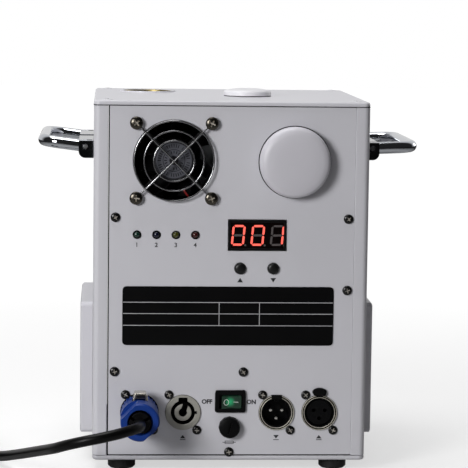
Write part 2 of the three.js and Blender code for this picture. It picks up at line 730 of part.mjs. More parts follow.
// Handles: a U bar on each side folds down about pins in two hinge blocks
function hingeBlock() {
  const top = BLOCK_TOP_ABOVE_PIVOT;
  const bottom = top - BLOCK_HEIGHT;
  const shape = new THREE.Shape();
  shape.moveTo(GAP, top);
  shape.lineTo(GAP, bottom);
  shape.lineTo(BLOCK_DEPTH - BLOCK_ROUND, bottom);
  shape.absarc(BLOCK_DEPTH - BLOCK_ROUND, bottom + BLOCK_ROUND, BLOCK_ROUND, radians(-90), 0);
  shape.lineTo(BLOCK_DEPTH, top);
  shape.closePath();
  const near = -HANDLE_SPACING / 2 - slotHalf() - BLOCK_END_WALL;
  const block = facing(shape, near, BLOCK_LENGTH);
  const slotLow = [BLOCK_BACK_WALL, -HANDLE_SPACING / 2 - slotHalf(), bottom - OVERRUN];
  const slotHigh = [BLOCK_DEPTH + OVERRUN, -HANDLE_SPACING / 2 + slotHalf(), top + OVERRUN];
  const pinHole = along(PIN_RADIUS + GAP, near - OVERRUN, near + PIN_LENGTH + GAP, PIVOT_OUT, 0, SMALL_SIDES);
  return cut(block, box(slotLow, slotHigh), pinHole);
}

function slotHalf() {
  return HANDLE_BAR_RADIUS + GAP;
}

function hingePin() {
  const near = -HANDLE_SPACING / 2 - slotHalf() - BLOCK_END_WALL;
  return along(PIN_RADIUS, near, near + PIN_LENGTH, PIVOT_OUT, 0, SMALL_SIDES);
}

function handleBar() {
  const half = HANDLE_SPACING / 2;
  const [start, far] = [HANDLE_REACH - HANDLE_BEND, HANDLE_REACH];
  const pull = HANDLE_BEND * QUARTER_ARC_SHARE;
  const at = (u, y) => new THREE.Vector3(u, y, 0);
  const path = new THREE.CurvePath();
  path.add(new THREE.LineCurve3(at(0, -half), at(start, -half)));
  const straight = half - HANDLE_BEND;
  path.add(new THREE.CubicBezierCurve3(
    at(start, -half), at(start + pull, -half), at(far, -straight - pull), at(far, -straight),
  ));
  path.add(new THREE.LineCurve3(at(far, -straight), at(far, straight)));
  path.add(new THREE.CubicBezierCurve3(
    at(far, straight), at(far, straight + pull), at(start + pull, half), at(start, half),
  ));
  path.add(new THREE.LineCurve3(at(start, half), at(0, half)));
  const section = circleSection(HANDLE_BAR_RADIUS, BAR_SIDES).map(([u, v]) => new THREE.Vector2(u, v));
  const settings = { extrudePath: path, steps: BAR_STEPS, bevelEnabled: false };
  let bar = solid(new THREE.ExtrudeGeometry(new THREE.Shape(section), settings));
  for (const y of [-half, half]) {
    const [low, high] = [y - HANDLE_BAR_RADIUS, y + HANDLE_BAR_RADIUS];
    bar = join(bar, along(HANDLE_BAR_RADIUS, low, high, 0, 0, BAR_SIDES));
  }
  for (const y of [-half, half]) {
    const [low, high] = [y - HANDLE_BAR_RADIUS - OVERRUN, y + HANDLE_BAR_RADIUS + OVERRUN];
    bar = cut(bar, along(PIN_RADIUS + GAP, low, high, 0, 0, SMALL_SIDES));
  }
  return bar;
}

function addHandle(name, side, tilt) {
  const mount = (shape) => (side > 0 ? shape : shape.mirror([1, 0, 0]));
  const fixed = (shape) => mount(shape.translate(SIDE_X, 0, 0)).translate(0, 0, PIVOT_Z);
  add(`${name}_handle_block_rear`, fixed(hingeBlock()), CHROME);
  add(`${name}_handle_block_front`, fixed(hingeBlock().mirror([0, 1, 0])), CHROME);
  add(`${name}_handle_pin_rear`, fixed(hingePin()), STEEL);
  add(`${name}_handle_pin_front`, fixed(hingePin().mirror([0, 1, 0])), STEEL);
  const bar = add(`${name}_handle_bar`, mount(handleBar()), CHROME);
  bar.position.set(side * (SIDE_X + PIVOT_OUT), 0, PIVOT_Z);
  bar.rotation.y = -side * radians(tilt);
}

// Cooling fan behind its opening, and the wire guard in front of it
function fanFrame() {
  const [x, z] = [FAN_X, LID_Z - FAN_BELOW_LID];
  const shape = roundedRectangle(FAN_SIZE, FAN_SIZE, FAN_CORNER);
  shape.holes.push(circleHole(0, 0, FAN_BORE_RADIUS, LARGE_SIDES));
  const half = FAN_HOLE_PITCH / 2;
  for (const [u, v] of [[-half, -half], [half, -half], [half, half], [-half, half]]) {
    shape.holes.push(circleHole(u, v, FAN_HOLE_RADIUS, SMALL_SIDES));
  }
  const frame = facing(shape, 0, FAN_DEPTH);
  const hub = along(FAN_HUB_RADIUS, 0, FAN_STRUT, 0, 0, LARGE_SIDES);
  const strut = box([-FAN_STRUT / 2, 0, -FAN_BORE_RADIUS - FAN_STRUT / 2], [FAN_STRUT / 2, FAN_STRUT, 0]);
  const struts = [45, 135, 225, 315].map((angle) => strut.rotate(0, angle, 0));
  return join(frame, hub, ...struts).translate(x, PANEL_BACK_Y + GAP, z);
}

function fanRotor() {
  const [x, z] = [FAN_X, LID_Z - FAN_BELOW_LID];
  const length = FAN_DEPTH - FAN_STRUT - GAP - FAN_TIP_GAP;
  const pitch = radians(FAN_BLADE_PITCH_DEG);
  const swing = (length * Math.sin(pitch) + FAN_BLADE_THICKNESS * Math.cos(pitch)) / 2;
  const reach = Math.sqrt((FAN_BORE_RADIUS - FAN_TIP_GAP) ** 2 - swing ** 2);
  const blade = box(
    [-FAN_BLADE_THICKNESS / 2, -length / 2, FAN_HUB_RADIUS / 2],
    [FAN_BLADE_THICKNESS / 2, length / 2, reach],
  ).rotate(0, 0, FAN_BLADE_PITCH_DEG);
  const blades = Array.from({ length: FAN_BLADE_COUNT }, (unused, count) => (
    blade.rotate(0, (360 * count) / FAN_BLADE_COUNT, 0)
  ));
  const hub = along(FAN_HUB_RADIUS, -length / 2, length / 2, 0, 0, LARGE_SIDES);
  const y = PANEL_BACK_Y + GAP + FAN_STRUT + GAP + length / 2;
  return join(hub, ...blades).translate(x, y, z);
}

function wireRing(radius) {
  const outline = circleSection(GUARD_WIRE_RADIUS, WIRE_SIDES).map(([u, v]) => [radius + u, v]);
  return turned([...outline, outline[0]], LARGE_SIDES).rotate(90, 0, 0);
}

function fanGuard() {
  const [x, z] = [FAN_X, LID_Z - FAN_BELOW_LID];
  const rings = GUARD_RING_RADII.map((radius) => wireRing(radius));
  const corner = Math.hypot(FAN_HOLE_PITCH / 2, FAN_HOLE_PITCH / 2);
  const rise = GUARD_RISE - 2 * GUARD_WIRE_RADIUS;
  const route = [[-corner, rise], [-GUARD_BEND_RADIUS, 0], [GUARD_BEND_RADIUS, 0], [corner, rise]];
  const points = route.map(([u, y]) => new THREE.Vector3(u, y, 0));
  const wire = oriented(sweep(points, circleSection(GUARD_WIRE_RADIUS, WIRE_SIDES)));
  const [eyeLow, eyeHigh] = [rise - GUARD_WIRE_RADIUS, rise + GUARD_WIRE_RADIUS];
  const eye = along(GUARD_EYE_RADIUS, eyeLow, eyeHigh, corner, 0, SMALL_SIDES);
  const wires = [45, 135].map((angle) => wire.rotate(0, angle, 0));
  const eyes = [45, 135, 225, 315].map((angle) => eye.rotate(0, angle, 0));
  const y = PANEL_Y - GAP - rise - GUARD_WIRE_RADIUS;
  return join(...rings, ...wires, ...eyes).translate(x, y, z);
}

// Service port: a collar through the panel, closed by a large push-in cap
function servicePort() {
  const [outer, inner] = [PORT_BORE_RADIUS + PORT_WALL, PORT_BORE_RADIUS];
  const outline = [
    [inner, PORT_RIM + GAP],
    [PORT_RIM_RADIUS, PORT_RIM + GAP],
    [PORT_RIM_RADIUS, GAP],
    [outer, GAP],
    [outer, -PORT_LENGTH],
    [inner, -PORT_LENGTH],
    [inner, PORT_RIM + GAP],
  ];
  return turnedRearward(outline, LARGE_SIDES, SERVICE_X, PANEL_Y, LID_Z - SERVICE_BELOW_LID);
}

function serviceCap() {
  const seat = PORT_RIM + 2 * GAP;
  const shoulder = SERVICE_CAP_PROUD - SERVICE_CAP_ROUND;
  const plug = PORT_BORE_RADIUS - GAP;
  const outline = [
    [0, SERVICE_CAP_PROUD],
    [SERVICE_CAP_RADIUS - 2 * SERVICE_CAP_ROUND, SERVICE_CAP_PROUD - SERVICE_CAP_ROUND / 8],
    [SERVICE_CAP_RADIUS - SERVICE_CAP_ROUND, SERVICE_CAP_PROUD - SERVICE_CAP_ROUND / 3],
    [SERVICE_CAP_RADIUS - SERVICE_CAP_ROUND / 3, shoulder + SERVICE_CAP_ROUND / 3],
    [SERVICE_CAP_RADIUS, shoulder],
    [SERVICE_CAP_RADIUS, seat],
    [plug, seat],
    [plug, seat - SERVICE_PLUG_LENGTH],
    [0, seat - SERVICE_PLUG_LENGTH],
  ];
  return turnedRearward(outline, LARGE_SIDES, SERVICE_X, PANEL_Y, LID_Z - SERVICE_BELOW_LID);
}

// Control board with its lamps, display and buttons
function statusLamp(count) {
  const back = -(SHEET + BOARD_BEHIND_PANEL - GAP);
  const outline = [
    [0, LAMP_PROUD],
    [LAMP_RADIUS * LAMP_DOME_SHARE, LAMP_PROUD - LAMP_RADIUS * (1 - LAMP_DOME_SHARE)],
    [LAMP_RADIUS, LAMP_PROUD - LAMP_RADIUS * LAMP_DOME_SHARE],
    [LAMP_RADIUS, -SHEET - GAP],
    [LAMP_COLLAR_RADIUS, -SHEET - GAP],
    [LAMP_COLLAR_RADIUS, back],
    [0, back],
  ];
  return turnedRearward(outline, SMALL_SIDES, LAMP_FIRST_X + count * LAMP_PITCH, PANEL_Y, LAMP_Z);
}

function displayModule() {
  const [u, v] = [DISPLAY_WIDTH / 2, DISPLAY_HEIGHT / 2];
  const y = PANEL_Y - DISPLAY_PROUD;
  const body = box([-u, y, -v], [u, BOARD_Y - GAP, v]);
  const window = box(
    [-u + DISPLAY_FRAME, y - OVERRUN, -v + DISPLAY_FRAME],
    [u - DISPLAY_FRAME, y + DISPLAY_FRAME / 2, v - DISPLAY_FRAME],
  );
  return cut(body, window).translate(DISPLAY_X, 0, LAMP_Z);
}

function button(side) {
  const back = -(SHEET + BOARD_BEHIND_PANEL - GAP - BUTTON_TRAVEL);
  const round = BUTTON_RADIUS / 5;
  const outline = [
    [0, BUTTON_PROUD],
    [BUTTON_RADIUS - round, BUTTON_PROUD],
    [BUTTON_RADIUS, BUTTON_PROUD - round],
    [BUTTON_RADIUS, -SHEET - GAP],
    [BUTTON_COLLAR_RADIUS, -SHEET - GAP],
    [BUTTON_COLLAR_RADIUS, -SHEET - GAP - BUTTON_COLLAR],
    [BUTTON_RADIUS, -SHEET - GAP - BUTTON_COLLAR],
    [BUTTON_RADIUS, back],
    [0, back],
  ];
  return turnedRearward(outline, MEDIUM_SIDES, DISPLAY_X + (side * BUTTON_SPACING) / 2, PANEL_Y, BUTTON_Z);
}

function controlBoard() {
  const left = LAMP_FIRST_X - BOARD_EDGE;
  const right = DISPLAY_X + DISPLAY_WIDTH / 2 + BOARD_EDGE;
  const high = LAMP_Z + DISPLAY_HEIGHT / 2 + GAP;
  const back = BOARD_Y + BOARD_THICKNESS;
  const board = box([left, BOARD_Y, high - BOARD_HEIGHT], [right, back, high]);
  const seat = BOARD_THICKNESS / 2;
  const chip = (x, z) => box([x, back - seat, z], [x + CHIP_SIZE, back + CHIP_HEIGHT, z + CHIP_SIZE]);
  const low = high - BOARD_HEIGHT + BOARD_EDGE;
  const terminal = box(
    [left + BOARD_EDGE, back - seat, low],
    [left + BOARD_EDGE + TERMINAL_WIDTH, back + TERMINAL_DEPTH, low + TERMINAL_HEIGHT],
  );
  const upper = high - BOARD_EDGE - CHIP_SIZE;
  return join(board, chip(0, low), chip(0, upper), chip(-2 * CHIP_SIZE, upper), terminal);
}

function ratingPlate() {
  const plate = facing(roundedRectangle(PLATE_WIDTH, PLATE_HEIGHT, PLATE_CORNER), 0, PLATE_THICKNESS);
  return plate.translate(PLATE_X, PANEL_Y - ADHESIVE - PLATE_THICKNESS, PLATE_Z);
}

// Connectors: a round body through the panel, with its flange screwed up from behind
function connectorBody() {
  const front = PANEL_Y - CONNECTOR_PROUD;
  const seat = PANEL_BACK_Y + GAP;
  const barrel = along(CONNECTOR_RADIUS, front, PANEL_BACK_Y + CONNECTOR_DEPTH, 0, 0, LARGE_SIDES);
  const [u, v] = [CONNECTOR_FLANGE_WIDTH / 2, CONNECTOR_FLANGE_HEIGHT / 2];
  const flange = box([-u, seat, -v], [u, seat + CONNECTOR_FLANGE, v]);
  const screw = (side) => along(
    CONNECTOR_SCREW_RADIUS, seat - OVERRUN, seat + CONNECTOR_FLANGE + OVERRUN,
    -side * CONNECTOR_SCREW_X, side * CONNECTOR_SCREW_Z, SMALL_SIDES,
  );
  return cut(join(barrel, flange), screw(1), screw(-1));
}

function socketBore(radius, depth) {
  const front = PANEL_Y - CONNECTOR_PROUD;
  return along(radius, front - OVERRUN, front + depth, 0, 0, LARGE_SIDES);
}

function ringGroove(outer, inner, depth) {
  return cut(socketBore(outer, depth), socketBore(inner, depth + OVERRUN).translate(0, -OVERRUN / 2, 0));
}

function powerInlet() {
  const hollow = socketBore(PLUG_NOSE_RADIUS + GAP, PLUG_NOSE + CONNECTOR_PROUD);
  return cut(connectorBody(), hollow).translate(POWER_IN_X, 0, CONNECTOR_Z);
}

function powerOutlet() {
  const front = PANEL_Y - CONNECTOR_PROUD;
  const wide = CONNECTOR_RADIUS - CONNECTOR_WALL;
  const groove = ringGroove(wide, OUTLET_CORE_RADIUS, SOCKET_DEPTH);
  const bore = socketBore(OUTLET_BORE_RADIUS, SOCKET_DEPTH);
  const half = OUTLET_KEY_WIDTH / 2;
  const key = box([-half, front - OVERRUN, 0], [half, front + SOCKET_DEPTH, wide]);
  return cut(connectorBody(), groove, bore, key, key.rotate(0, 90, 0)).translate(POWER_OUT_X, 0, CONNECTOR_Z);
}

function contacts(radius, yLow, yHigh) {
  return CONTACT_ANGLES_DEG.map((angle) => {
    const [x, z] = [CONTACT_CIRCLE * Math.cos(radians(angle)), CONTACT_CIRCLE * Math.sin(radians(angle))];
    return along(radius, yLow, yHigh, x, z, SMALL_SIDES);
  });
}

function dataInSocket() {
  const front = PANEL_Y - CONNECTOR_PROUD;
  const wide = CONNECTOR_RADIUS - CONNECTOR_WALL;
  const hollow = socketBore(wide, SOCKET_DEPTH);
  const floor = front + SOCKET_DEPTH;
  const pins = contacts(CONTACT_PIN_RADIUS, floor - CONTACT_PIN_LENGTH, floor + OVERRUN);
  return join(cut(connectorBody(), hollow), ...pins).translate(DATA_IN_X, 0, CONNECTOR_Z);
}

function tabSlot(yLow, yHigh) {
  const [u, v] = [TAB_WIDTH / 2 + GAP, TAB_HEIGHT / 2 + GAP];
  const z = CONNECTOR_Z + TAB_ABOVE_CENTRE;
  return box([DATA_OUT_X - u, yLow, z - v], [DATA_OUT_X + u, yHigh, z + v]);
}

function dataOutSocket() {
  const front = PANEL_Y - CONNECTOR_PROUD;
  const wide = CONNECTOR_RADIUS - CONNECTOR_WALL;
  const groove = ringGroove(wide, wide - CONNECTOR_WALL, SOCKET_DEPTH / 3);
  const holes = contacts(CONTACT_HOLE_RADIUS, front - OVERRUN, front + SOCKET_DEPTH);
  const half = NOTCH_WIDTH / 2;
  const notch = box([-half, front - OVERRUN, OUTLET_CORE_RADIUS], [half, front + SOCKET_DEPTH / 3, wide]);
  const body = cut(connectorBody(), groove, ...holes, notch).translate(DATA_OUT_X, 0, CONNECTOR_Z);
  return cut(body, tabSlot(PANEL_Y - CONNECTOR_PROUD - OVERRUN, PANEL_BACK_Y + CONNECTOR_DEPTH / 2));
}

function releaseTab() {
  const [u, v] = [TAB_WIDTH / 2, TAB_HEIGHT / 2];
  const z = CONNECTOR_Z + TAB_ABOVE_CENTRE;
  const tab = facing(roundedRectangle(2 * u, 2 * v, v / 2), PANEL_Y - TAB_PROUD, TAB_LENGTH);
  return tab.translate(DATA_OUT_X, 0, z);
}

// Rocker switch, drawn with its right end pressed
function switchBody() {
  const z = FOOT_HEIGHT + SWITCH_ABOVE_BASE;
  const front = PANEL_Y - SWITCH_PROUD;
  const bezel = facing(roundedRectangle(SWITCH_WIDTH, SWITCH_HEIGHT, SHEET), front, SWITCH_PROUD - GAP);
  const [u, v] = [SWITCH_BODY_WIDTH / 2, SWITCH_BODY_HEIGHT / 2];
  const body = box([-u, front + GAP, -v], [u, PANEL_BACK_Y + SWITCH_BODY_DEPTH, v]);
  const reach = Math.hypot(ROCKER_HALF, ROCKER_TIP) + GAP;
  const dip = ROCKER_HEEL_HALF * Math.sin(radians(ROCKER_THROW_DEG));
  const floor = front + ROCKER_PIVOT_BEHIND_FACE + ROCKER_HEEL + dip + GAP;
  const half = ROCKER_HEIGHT / 2 + GAP;
  const pocket = box([-reach, front - OVERRUN, -half], [reach, floor, half]);
  return cut(join(bezel, body), pocket).translate(SWITCH_X, 0, z);
}

function rocker() {
  const shape = new THREE.Shape();
  shape.moveTo(-ROCKER_HALF, -ROCKER_TIP);
  shape.lineTo(0, -ROCKER_VALLEY);
  shape.lineTo(ROCKER_HALF, -ROCKER_TIP);
  shape.lineTo(ROCKER_HEEL_HALF, ROCKER_HEEL);
  shape.lineTo(-ROCKER_HEEL_HALF, ROCKER_HEEL);
  shape.closePath();
  return extruded(shape, ROCKER_HEIGHT).translate(0, 0, -ROCKER_HEIGHT / 2);
}

// Fuse holder and its slotted cap
function fuseHolder() {
  const bottom = -SHEET - FUSE_BODY_DEPTH;
  const outline = [
    [FUSE_BORE_RADIUS, FUSE_RIM + GAP],
    [FUSE_RIM_RADIUS, FUSE_RIM + GAP],
    [FUSE_RIM_RADIUS, GAP],
    [FUSE_BODY_RADIUS, GAP],
    [FUSE_BODY_RADIUS, bottom],
    [0, bottom],
    [0, bottom + FUSE_WALL],
    [FUSE_BORE_RADIUS, bottom + FUSE_WALL],
    [FUSE_BORE_RADIUS, FUSE_RIM + GAP],
  ];
  return turnedRearward(outline, MEDIUM_SIDES, FUSE_X, PANEL_Y, FOOT_HEIGHT + FUSE_ABOVE_BASE);
}

function fuseCap() {
  const seat = FUSE_RIM + 2 * GAP;
  const top = seat + FUSE_CAP_HEIGHT;
  const shank = FUSE_BORE_RADIUS - GAP;
  const round = FUSE_CAP_HEIGHT / 4;
  const outline = [
    [0, top],
    [FUSE_CAP_RADIUS - round, top],
    [FUSE_CAP_RADIUS, top - round],
    [FUSE_CAP_RADIUS, seat],
    [shank, seat],
    [shank, seat - FUSE_SHANK_LENGTH],
    [0, seat - FUSE_SHANK_LENGTH],
  ];
  const z = FOOT_HEIGHT + FUSE_ABOVE_BASE;
  const cap = turnedRearward(outline, MEDIUM_SIDES, FUSE_X, PANEL_Y, z);
  const y = PANEL_Y - top;
  const [u, w] = [FUSE_CAP_RADIUS * FUSE_SLOT_SHARE, FUSE_SLOT_WIDTH / 2];
  const slot = box([-w, y - OVERRUN, -u], [w, y + FUSE_SLOT_DEPTH, u]).rotate(0, FUSE_SLOT_ANGLE_DEG, 0);
  return cut(cap, slot.translate(FUSE_X, 0, z));
}

// Spark path: barrel, heater sleeve, hopper with its feed tube, feed screw and motor
function feedDirection() {
  return new THREE.Vector3(NOZZLE_X - HOPPER_X, NOZZLE_Y - HOPPER_Y, 0).normalize();
}

// Solids modelled along +X from the hopper's axis are turned to lie along the feed
function alongFeed(shape) {
  const direction = feedDirection();
  const angle = THREE.MathUtils.radToDeg(Math.atan2(direction.y, direction.x));
  return shape.rotate(0, 0, angle).translate(HOPPER_X, HOPPER_Y, FEED_Z);
}

function rod(radius, low, high, sides) {
  const geometry = new THREE.CylinderGeometry(radius, radius, high - low, sides);
  geometry.rotateZ(radians(-90)).translate((low + high) / 2, 0, 0);
  return solid(geometry);
}

function barrel() {
  const [low, high] = [BARREL_LOW, LID_Z + NOZZLE_RIM_HEIGHT - GAP];
  const tube = upright(BARREL_RADIUS, low, high, NOZZLE_X, NOZZLE_Y, LARGE_SIDES);
  const [from, to] = [low - OVERRUN, high + OVERRUN];
  const bore = upright(BARREL_RADIUS - BARREL_WALL, from, to, NOZZLE_X, NOZZLE_Y, LARGE_SIDES);
  const distance = Math.hypot(NOZZLE_X - HOPPER_X, NOZZLE_Y - HOPPER_Y);
  const inlet = alongFeed(rod(FEED_BORE_RADIUS, distance - BARREL_RADIUS - OVERRUN, distance, MEDIUM_SIDES));
  return cut(tube, bore, inlet);
}

function heaterSleeve() {
  const inner = BARREL_RADIUS + GAP;
  const outer = inner + SLEEVE_WALL;
  const pitch = SLEEVE_LENGTH / (SLEEVE_GROOVE_COUNT + 1);
  const outline = [[inner, 0], [outer, 0]];
  for (let groove = 1; groove <= SLEEVE_GROOVE_COUNT; groove += 1) {
    const z = groove * pitch;
    const half = pitch / 4;
    outline.push([outer, z - half], [outer - SLEEVE_GROOVE, z - half]);
    outline.push([outer - SLEEVE_GROOVE, z + half], [outer, z + half]);
  }
  outline.push([outer, SLEEVE_LENGTH], [inner, SLEEVE_LENGTH], [inner, 0]);
  return turned(outline, LARGE_SIDES).translate(NOZZLE_X, NOZZLE_Y, SLEEVE_LOW);
}

// Square hopper with a pyramid for its floor, drawn in by the wall for its inside
function hopperShell(inset) {
  const wide = Math.SQRT2 * (HOPPER_HALF - inset);
  const outlet = Math.SQRT2 * (HOPPER_OUTLET_HALF - inset);
  const high = LID_Z - HOPPER_NECK_LENGTH - inset;
  const floor = [[0, FEED_Z], [outlet, FEED_Z], [outlet, CONE_LOW], [wide, CONE_HIGH]];
  const outline = [...floor, [wide, high], [0, high]];
  return turned(outline, HOPPER_SIDES).rotate(0, 0, 180 / HOPPER_SIDES).translate(HOPPER_X, HOPPER_Y, 0);
}

function granuleHopper() {
  const neckLow = LID_Z - HOPPER_NECK_LENGTH - HOPPER_WALL;
  const neck = upright(HOPPER_NECK_RADIUS, neckLow, LID_Z, HOPPER_X, HOPPER_Y, LARGE_SIDES);
  const throat = upright(
    HOPPER_NECK_RADIUS - HOPPER_WALL, neckLow - OVERRUN, LID_Z + OVERRUN, HOPPER_X, HOPPER_Y, LARGE_SIDES,
  );
  const distance = Math.hypot(NOZZLE_X - HOPPER_X, NOZZLE_Y - HOPPER_Y);
  const tube = alongFeed(rod(FEED_TUBE_RADIUS, -FEED_TAIL - FEED_END_WALL, distance, MEDIUM_SIDES));
  const bore = alongFeed(rod(FEED_BORE_RADIUS, -FEED_TAIL, distance + OVERRUN, MEDIUM_SIDES));
  const shaftHole = alongFeed(rod(
    SCREW_CORE_RADIUS + GAP, -FEED_TAIL - FEED_END_WALL - OVERRUN, 0, SMALL_SIDES,
  ));
  const [low, high] = [FEED_Z - FEED_TUBE_RADIUS - OVERRUN, FEED_Z + FEED_TUBE_RADIUS + OVERRUN];
  const saddle = upright(BARREL_RADIUS + GAP, low, high, NOZZLE_X, NOZZLE_Y, LARGE_SIDES);
  return cut(join(hopperShell(0), neck, tube), hopperShell(HOPPER_WALL), throat, bore, shaftHole, saddle);
}

function feedScrew() {
  const distance = Math.hypot(NOZZLE_X - HOPPER_X, NOZZLE_Y - HOPPER_Y);
  const end = distance - SCREW_NOSE;
  const start = -FEED_TAIL - FEED_END_WALL - GAP;
  const core = rod(SCREW_CORE_RADIUS, start, end, SMALL_SIDES);
  const turns = (end - SCREW_BARE_TIP + FEED_TAIL - 2 * GAP) / SCREW_PITCH;
  const steps = Math.round(turns * SCREW_STEPS_PER_TURN);
  const [positions, index] = [[], []];
  for (let step = 0; step <= steps; step += 1) {
    const angle = radians((360 * turns * step) / steps);
    const x = -FEED_TAIL + GAP + SCREW_BLADE / 2 + (SCREW_PITCH * turns - SCREW_BLADE) * (step / steps);
    for (const [radius, shift] of [
      [SCREW_CORE_RADIUS / 2, -SCREW_BLADE / 2], [SCREW_RADIUS, -SCREW_BLADE / 2],
      [SCREW_RADIUS, SCREW_BLADE / 2], [SCREW_CORE_RADIUS / 2, SCREW_BLADE / 2],
    ]) positions.push(x + shift, radius * Math.cos(angle), radius * Math.sin(angle));
  }
  for (let step = 0; step < steps; step += 1) {
    for (let corner = 0; corner < 4; corner += 1) {
      const [a, b] = [step * 4 + corner, step * 4 + ((corner + 1) % 4)];
      index.push(a, b, a + 4, b, b + 4, a + 4);
    }
  }
  const last = steps * 4;
  index.push(0, 2, 1, 0, 3, 2, last, last + 1, last + 2, last, last + 2, last + 3);
  const flight = new THREE.BufferGeometry();
  flight.setAttribute('position', new THREE.Float32BufferAttribute(positions, 3));
  flight.setIndex(index);
  return alongFeed(join(core, oriented(flight)));
}

function feedMotor() {
  const face = -FEED_TAIL - FEED_END_WALL - 2 * GAP;
  const coupling = rod(COUPLING_RADIUS, face - COUPLING_LENGTH, face, MEDIUM_SIDES);
  const gearbox = face - COUPLING_LENGTH + GAP - GEARBOX_LENGTH;
  const gearCase = rod(GEARBOX_RADIUS, gearbox, face - COUPLING_LENGTH + GAP, LARGE_SIDES);
  const motor = rod(MOTOR_RADIUS, gearbox - MOTOR_LENGTH, gearbox + GAP, LARGE_SIDES);
  return alongFeed(join(coupling, gearCase, motor));
}

function hopperCap() {
  const seat = GAP;
  const rim = seat + HOPPER_CAP_RIM;
  const plug = HOPPER_NECK_RADIUS - HOPPER_WALL - GAP;
  const dome = HOPPER_CAP_DOME_SHARES.map(([across, above]) => (
    [HOPPER_CAP_RADIUS * across, rim + HOPPER_CAP_DOME * above]
  ));
  const outline = [
    ...dome,
    [HOPPER_CAP_RADIUS, seat],
    [plug, seat],
    [plug, seat - HOPPER_PLUG_LENGTH],
    [0, seat - HOPPER_PLUG_LENGTH],
  ];
  return turned(outline, LARGE_SIDES).translate(HOPPER_X, HOPPER_Y, LID_Z);
}

// Blower: a scroll that stands on the base and blows up into the barrel
function scrollOutline(inset) {
  const points = [];
  const [from, to] = [BLOWER_TONGUE_DEG, -180];
  for (let step = 0; step <= SCROLL_STEPS; step += 1) {
    const share = step / SCROLL_STEPS;
    const angle = radians(from + (to - from) * share);
    const radius = BLOWER_INNER_RADIUS + (BLOWER_OUTER_RADIUS - BLOWER_INNER_RADIUS) * share - inset;
    points.push(new THREE.Vector2(radius * Math.cos(angle), radius * Math.sin(angle)));
  }
  const top = inset > 0 ? BLOWER_DUCT_TOP + OVERRUN + BLOWER_PLATE_THICKNESS : BLOWER_DUCT_TOP;
  points.push(new THREE.Vector2(-BLOWER_OUTER_RADIUS + inset, top));
  points.push(new THREE.Vector2(TONGUE_X - inset, top));
  return new THREE.Shape(points.reverse());
}

function blowerHousing() {
  const half = BLOWER_THICKNESS / 2;
  const casing = facing(scrollOutline(0), -half, BLOWER_THICKNESS);
  const hollow = facing(scrollOutline(BLOWER_WALL), -half + BLOWER_WALL, BLOWER_THICKNESS - 2 * BLOWER_WALL);
  const plateHalf = BLOWER_PLATE / 2;
  const plate = box(
    [DUCT_X - plateHalf, -plateHalf, BLOWER_DUCT_TOP - GAP],
    [DUCT_X + plateHalf, plateHalf, BLOWER_DUCT_TOP + BLOWER_PLATE_THICKNESS],
  );
  const footHalf = BLOWER_FOOT_WIDTH / 2;
  const footLow = FLOOR_Z + GAP - BLOWER_Z;
  const footBlock = box([-footHalf, -half, footLow], [footHalf, half, footLow + BLOWER_FOOT_RISE]);
  const inlet = along(BLOWER_INLET_RADIUS, -half - OVERRUN, -half + 2 * BLOWER_WALL, 0, 0, LARGE_SIDES);
  const shell = cut(join(casing, plate, footBlock), hollow, inlet);
  const shaftEnd = half - BLOWER_WALL - IMPELLER_DEPTH + GAP;
  const shaft = along(BLOWER_SHAFT_RADIUS, shaftEnd, half, 0, 0, SMALL_SIDES);
  return join(shell, shaft).translate(BLOWER_X, NOZZLE_Y, BLOWER_Z);
}

function blowerImpeller() {
  const back = BLOWER_THICKNESS / 2 - BLOWER_WALL - GAP;
  const front = back - IMPELLER_DEPTH;
  const disc = along(IMPELLER_RADIUS, back - IMPELLER_PLATE, back, 0, 0, LARGE_SIDES);
  const hub = along(IMPELLER_HUB_RADIUS, front, back, 0, 0, MEDIUM_SIDES);
  const inner = IMPELLER_RADIUS - IMPELLER_BLADE_DEPTH;
  const half = IMPELLER_BLADE_THICKNESS / 2;
  const blade = box([-half, front + GAP, inner], [half, back - GAP, IMPELLER_RADIUS - half]);
  const blades = Array.from({ length: IMPELLER_BLADE_COUNT }, (unused, count) => (
    blade.rotate(0, (360 * count) / IMPELLER_BLADE_COUNT, 0)
  ));
  const rim = cut(
    along(IMPELLER_RADIUS, front, front + IMPELLER_PLATE, 0, 0, LARGE_SIDES),
    along(inner + half, front - OVERRUN, front + IMPELLER_PLATE + OVERRUN, 0, 0, LARGE_SIDES),
  );
  const bore = along(BLOWER_SHAFT_RADIUS + GAP, front - OVERRUN, back + OVERRUN, 0, 0, SMALL_SIDES);
  return cut(join(disc, hub, rim, ...blades), bore).translate(BLOWER_X, NOZZLE_Y, BLOWER_Z);
}

function powerSupply() {
  const right = SIDE_X - SHEET - SUPPLY_FROM_SIDE;
  const front = HOUSING_DEPTH / 2 - SHEET - SUPPLY_FROM_FRONT;
  const low = FLOOR_Z + GAP;
  const rear = front - SUPPLY_LENGTH;
  const can = box([right - SUPPLY_WIDTH, rear, low], [right, front, low + SUPPLY_HEIGHT]);
  const shelf = box(
    [right - SUPPLY_WIDTH + SHEET, rear - OVERRUN, low + SUPPLY_HEIGHT / 3],
    [right - SHEET, rear + SUPPLY_TERMINALS, low + SUPPLY_HEIGHT + OVERRUN],
  );
  return cut(can, shelf);
}

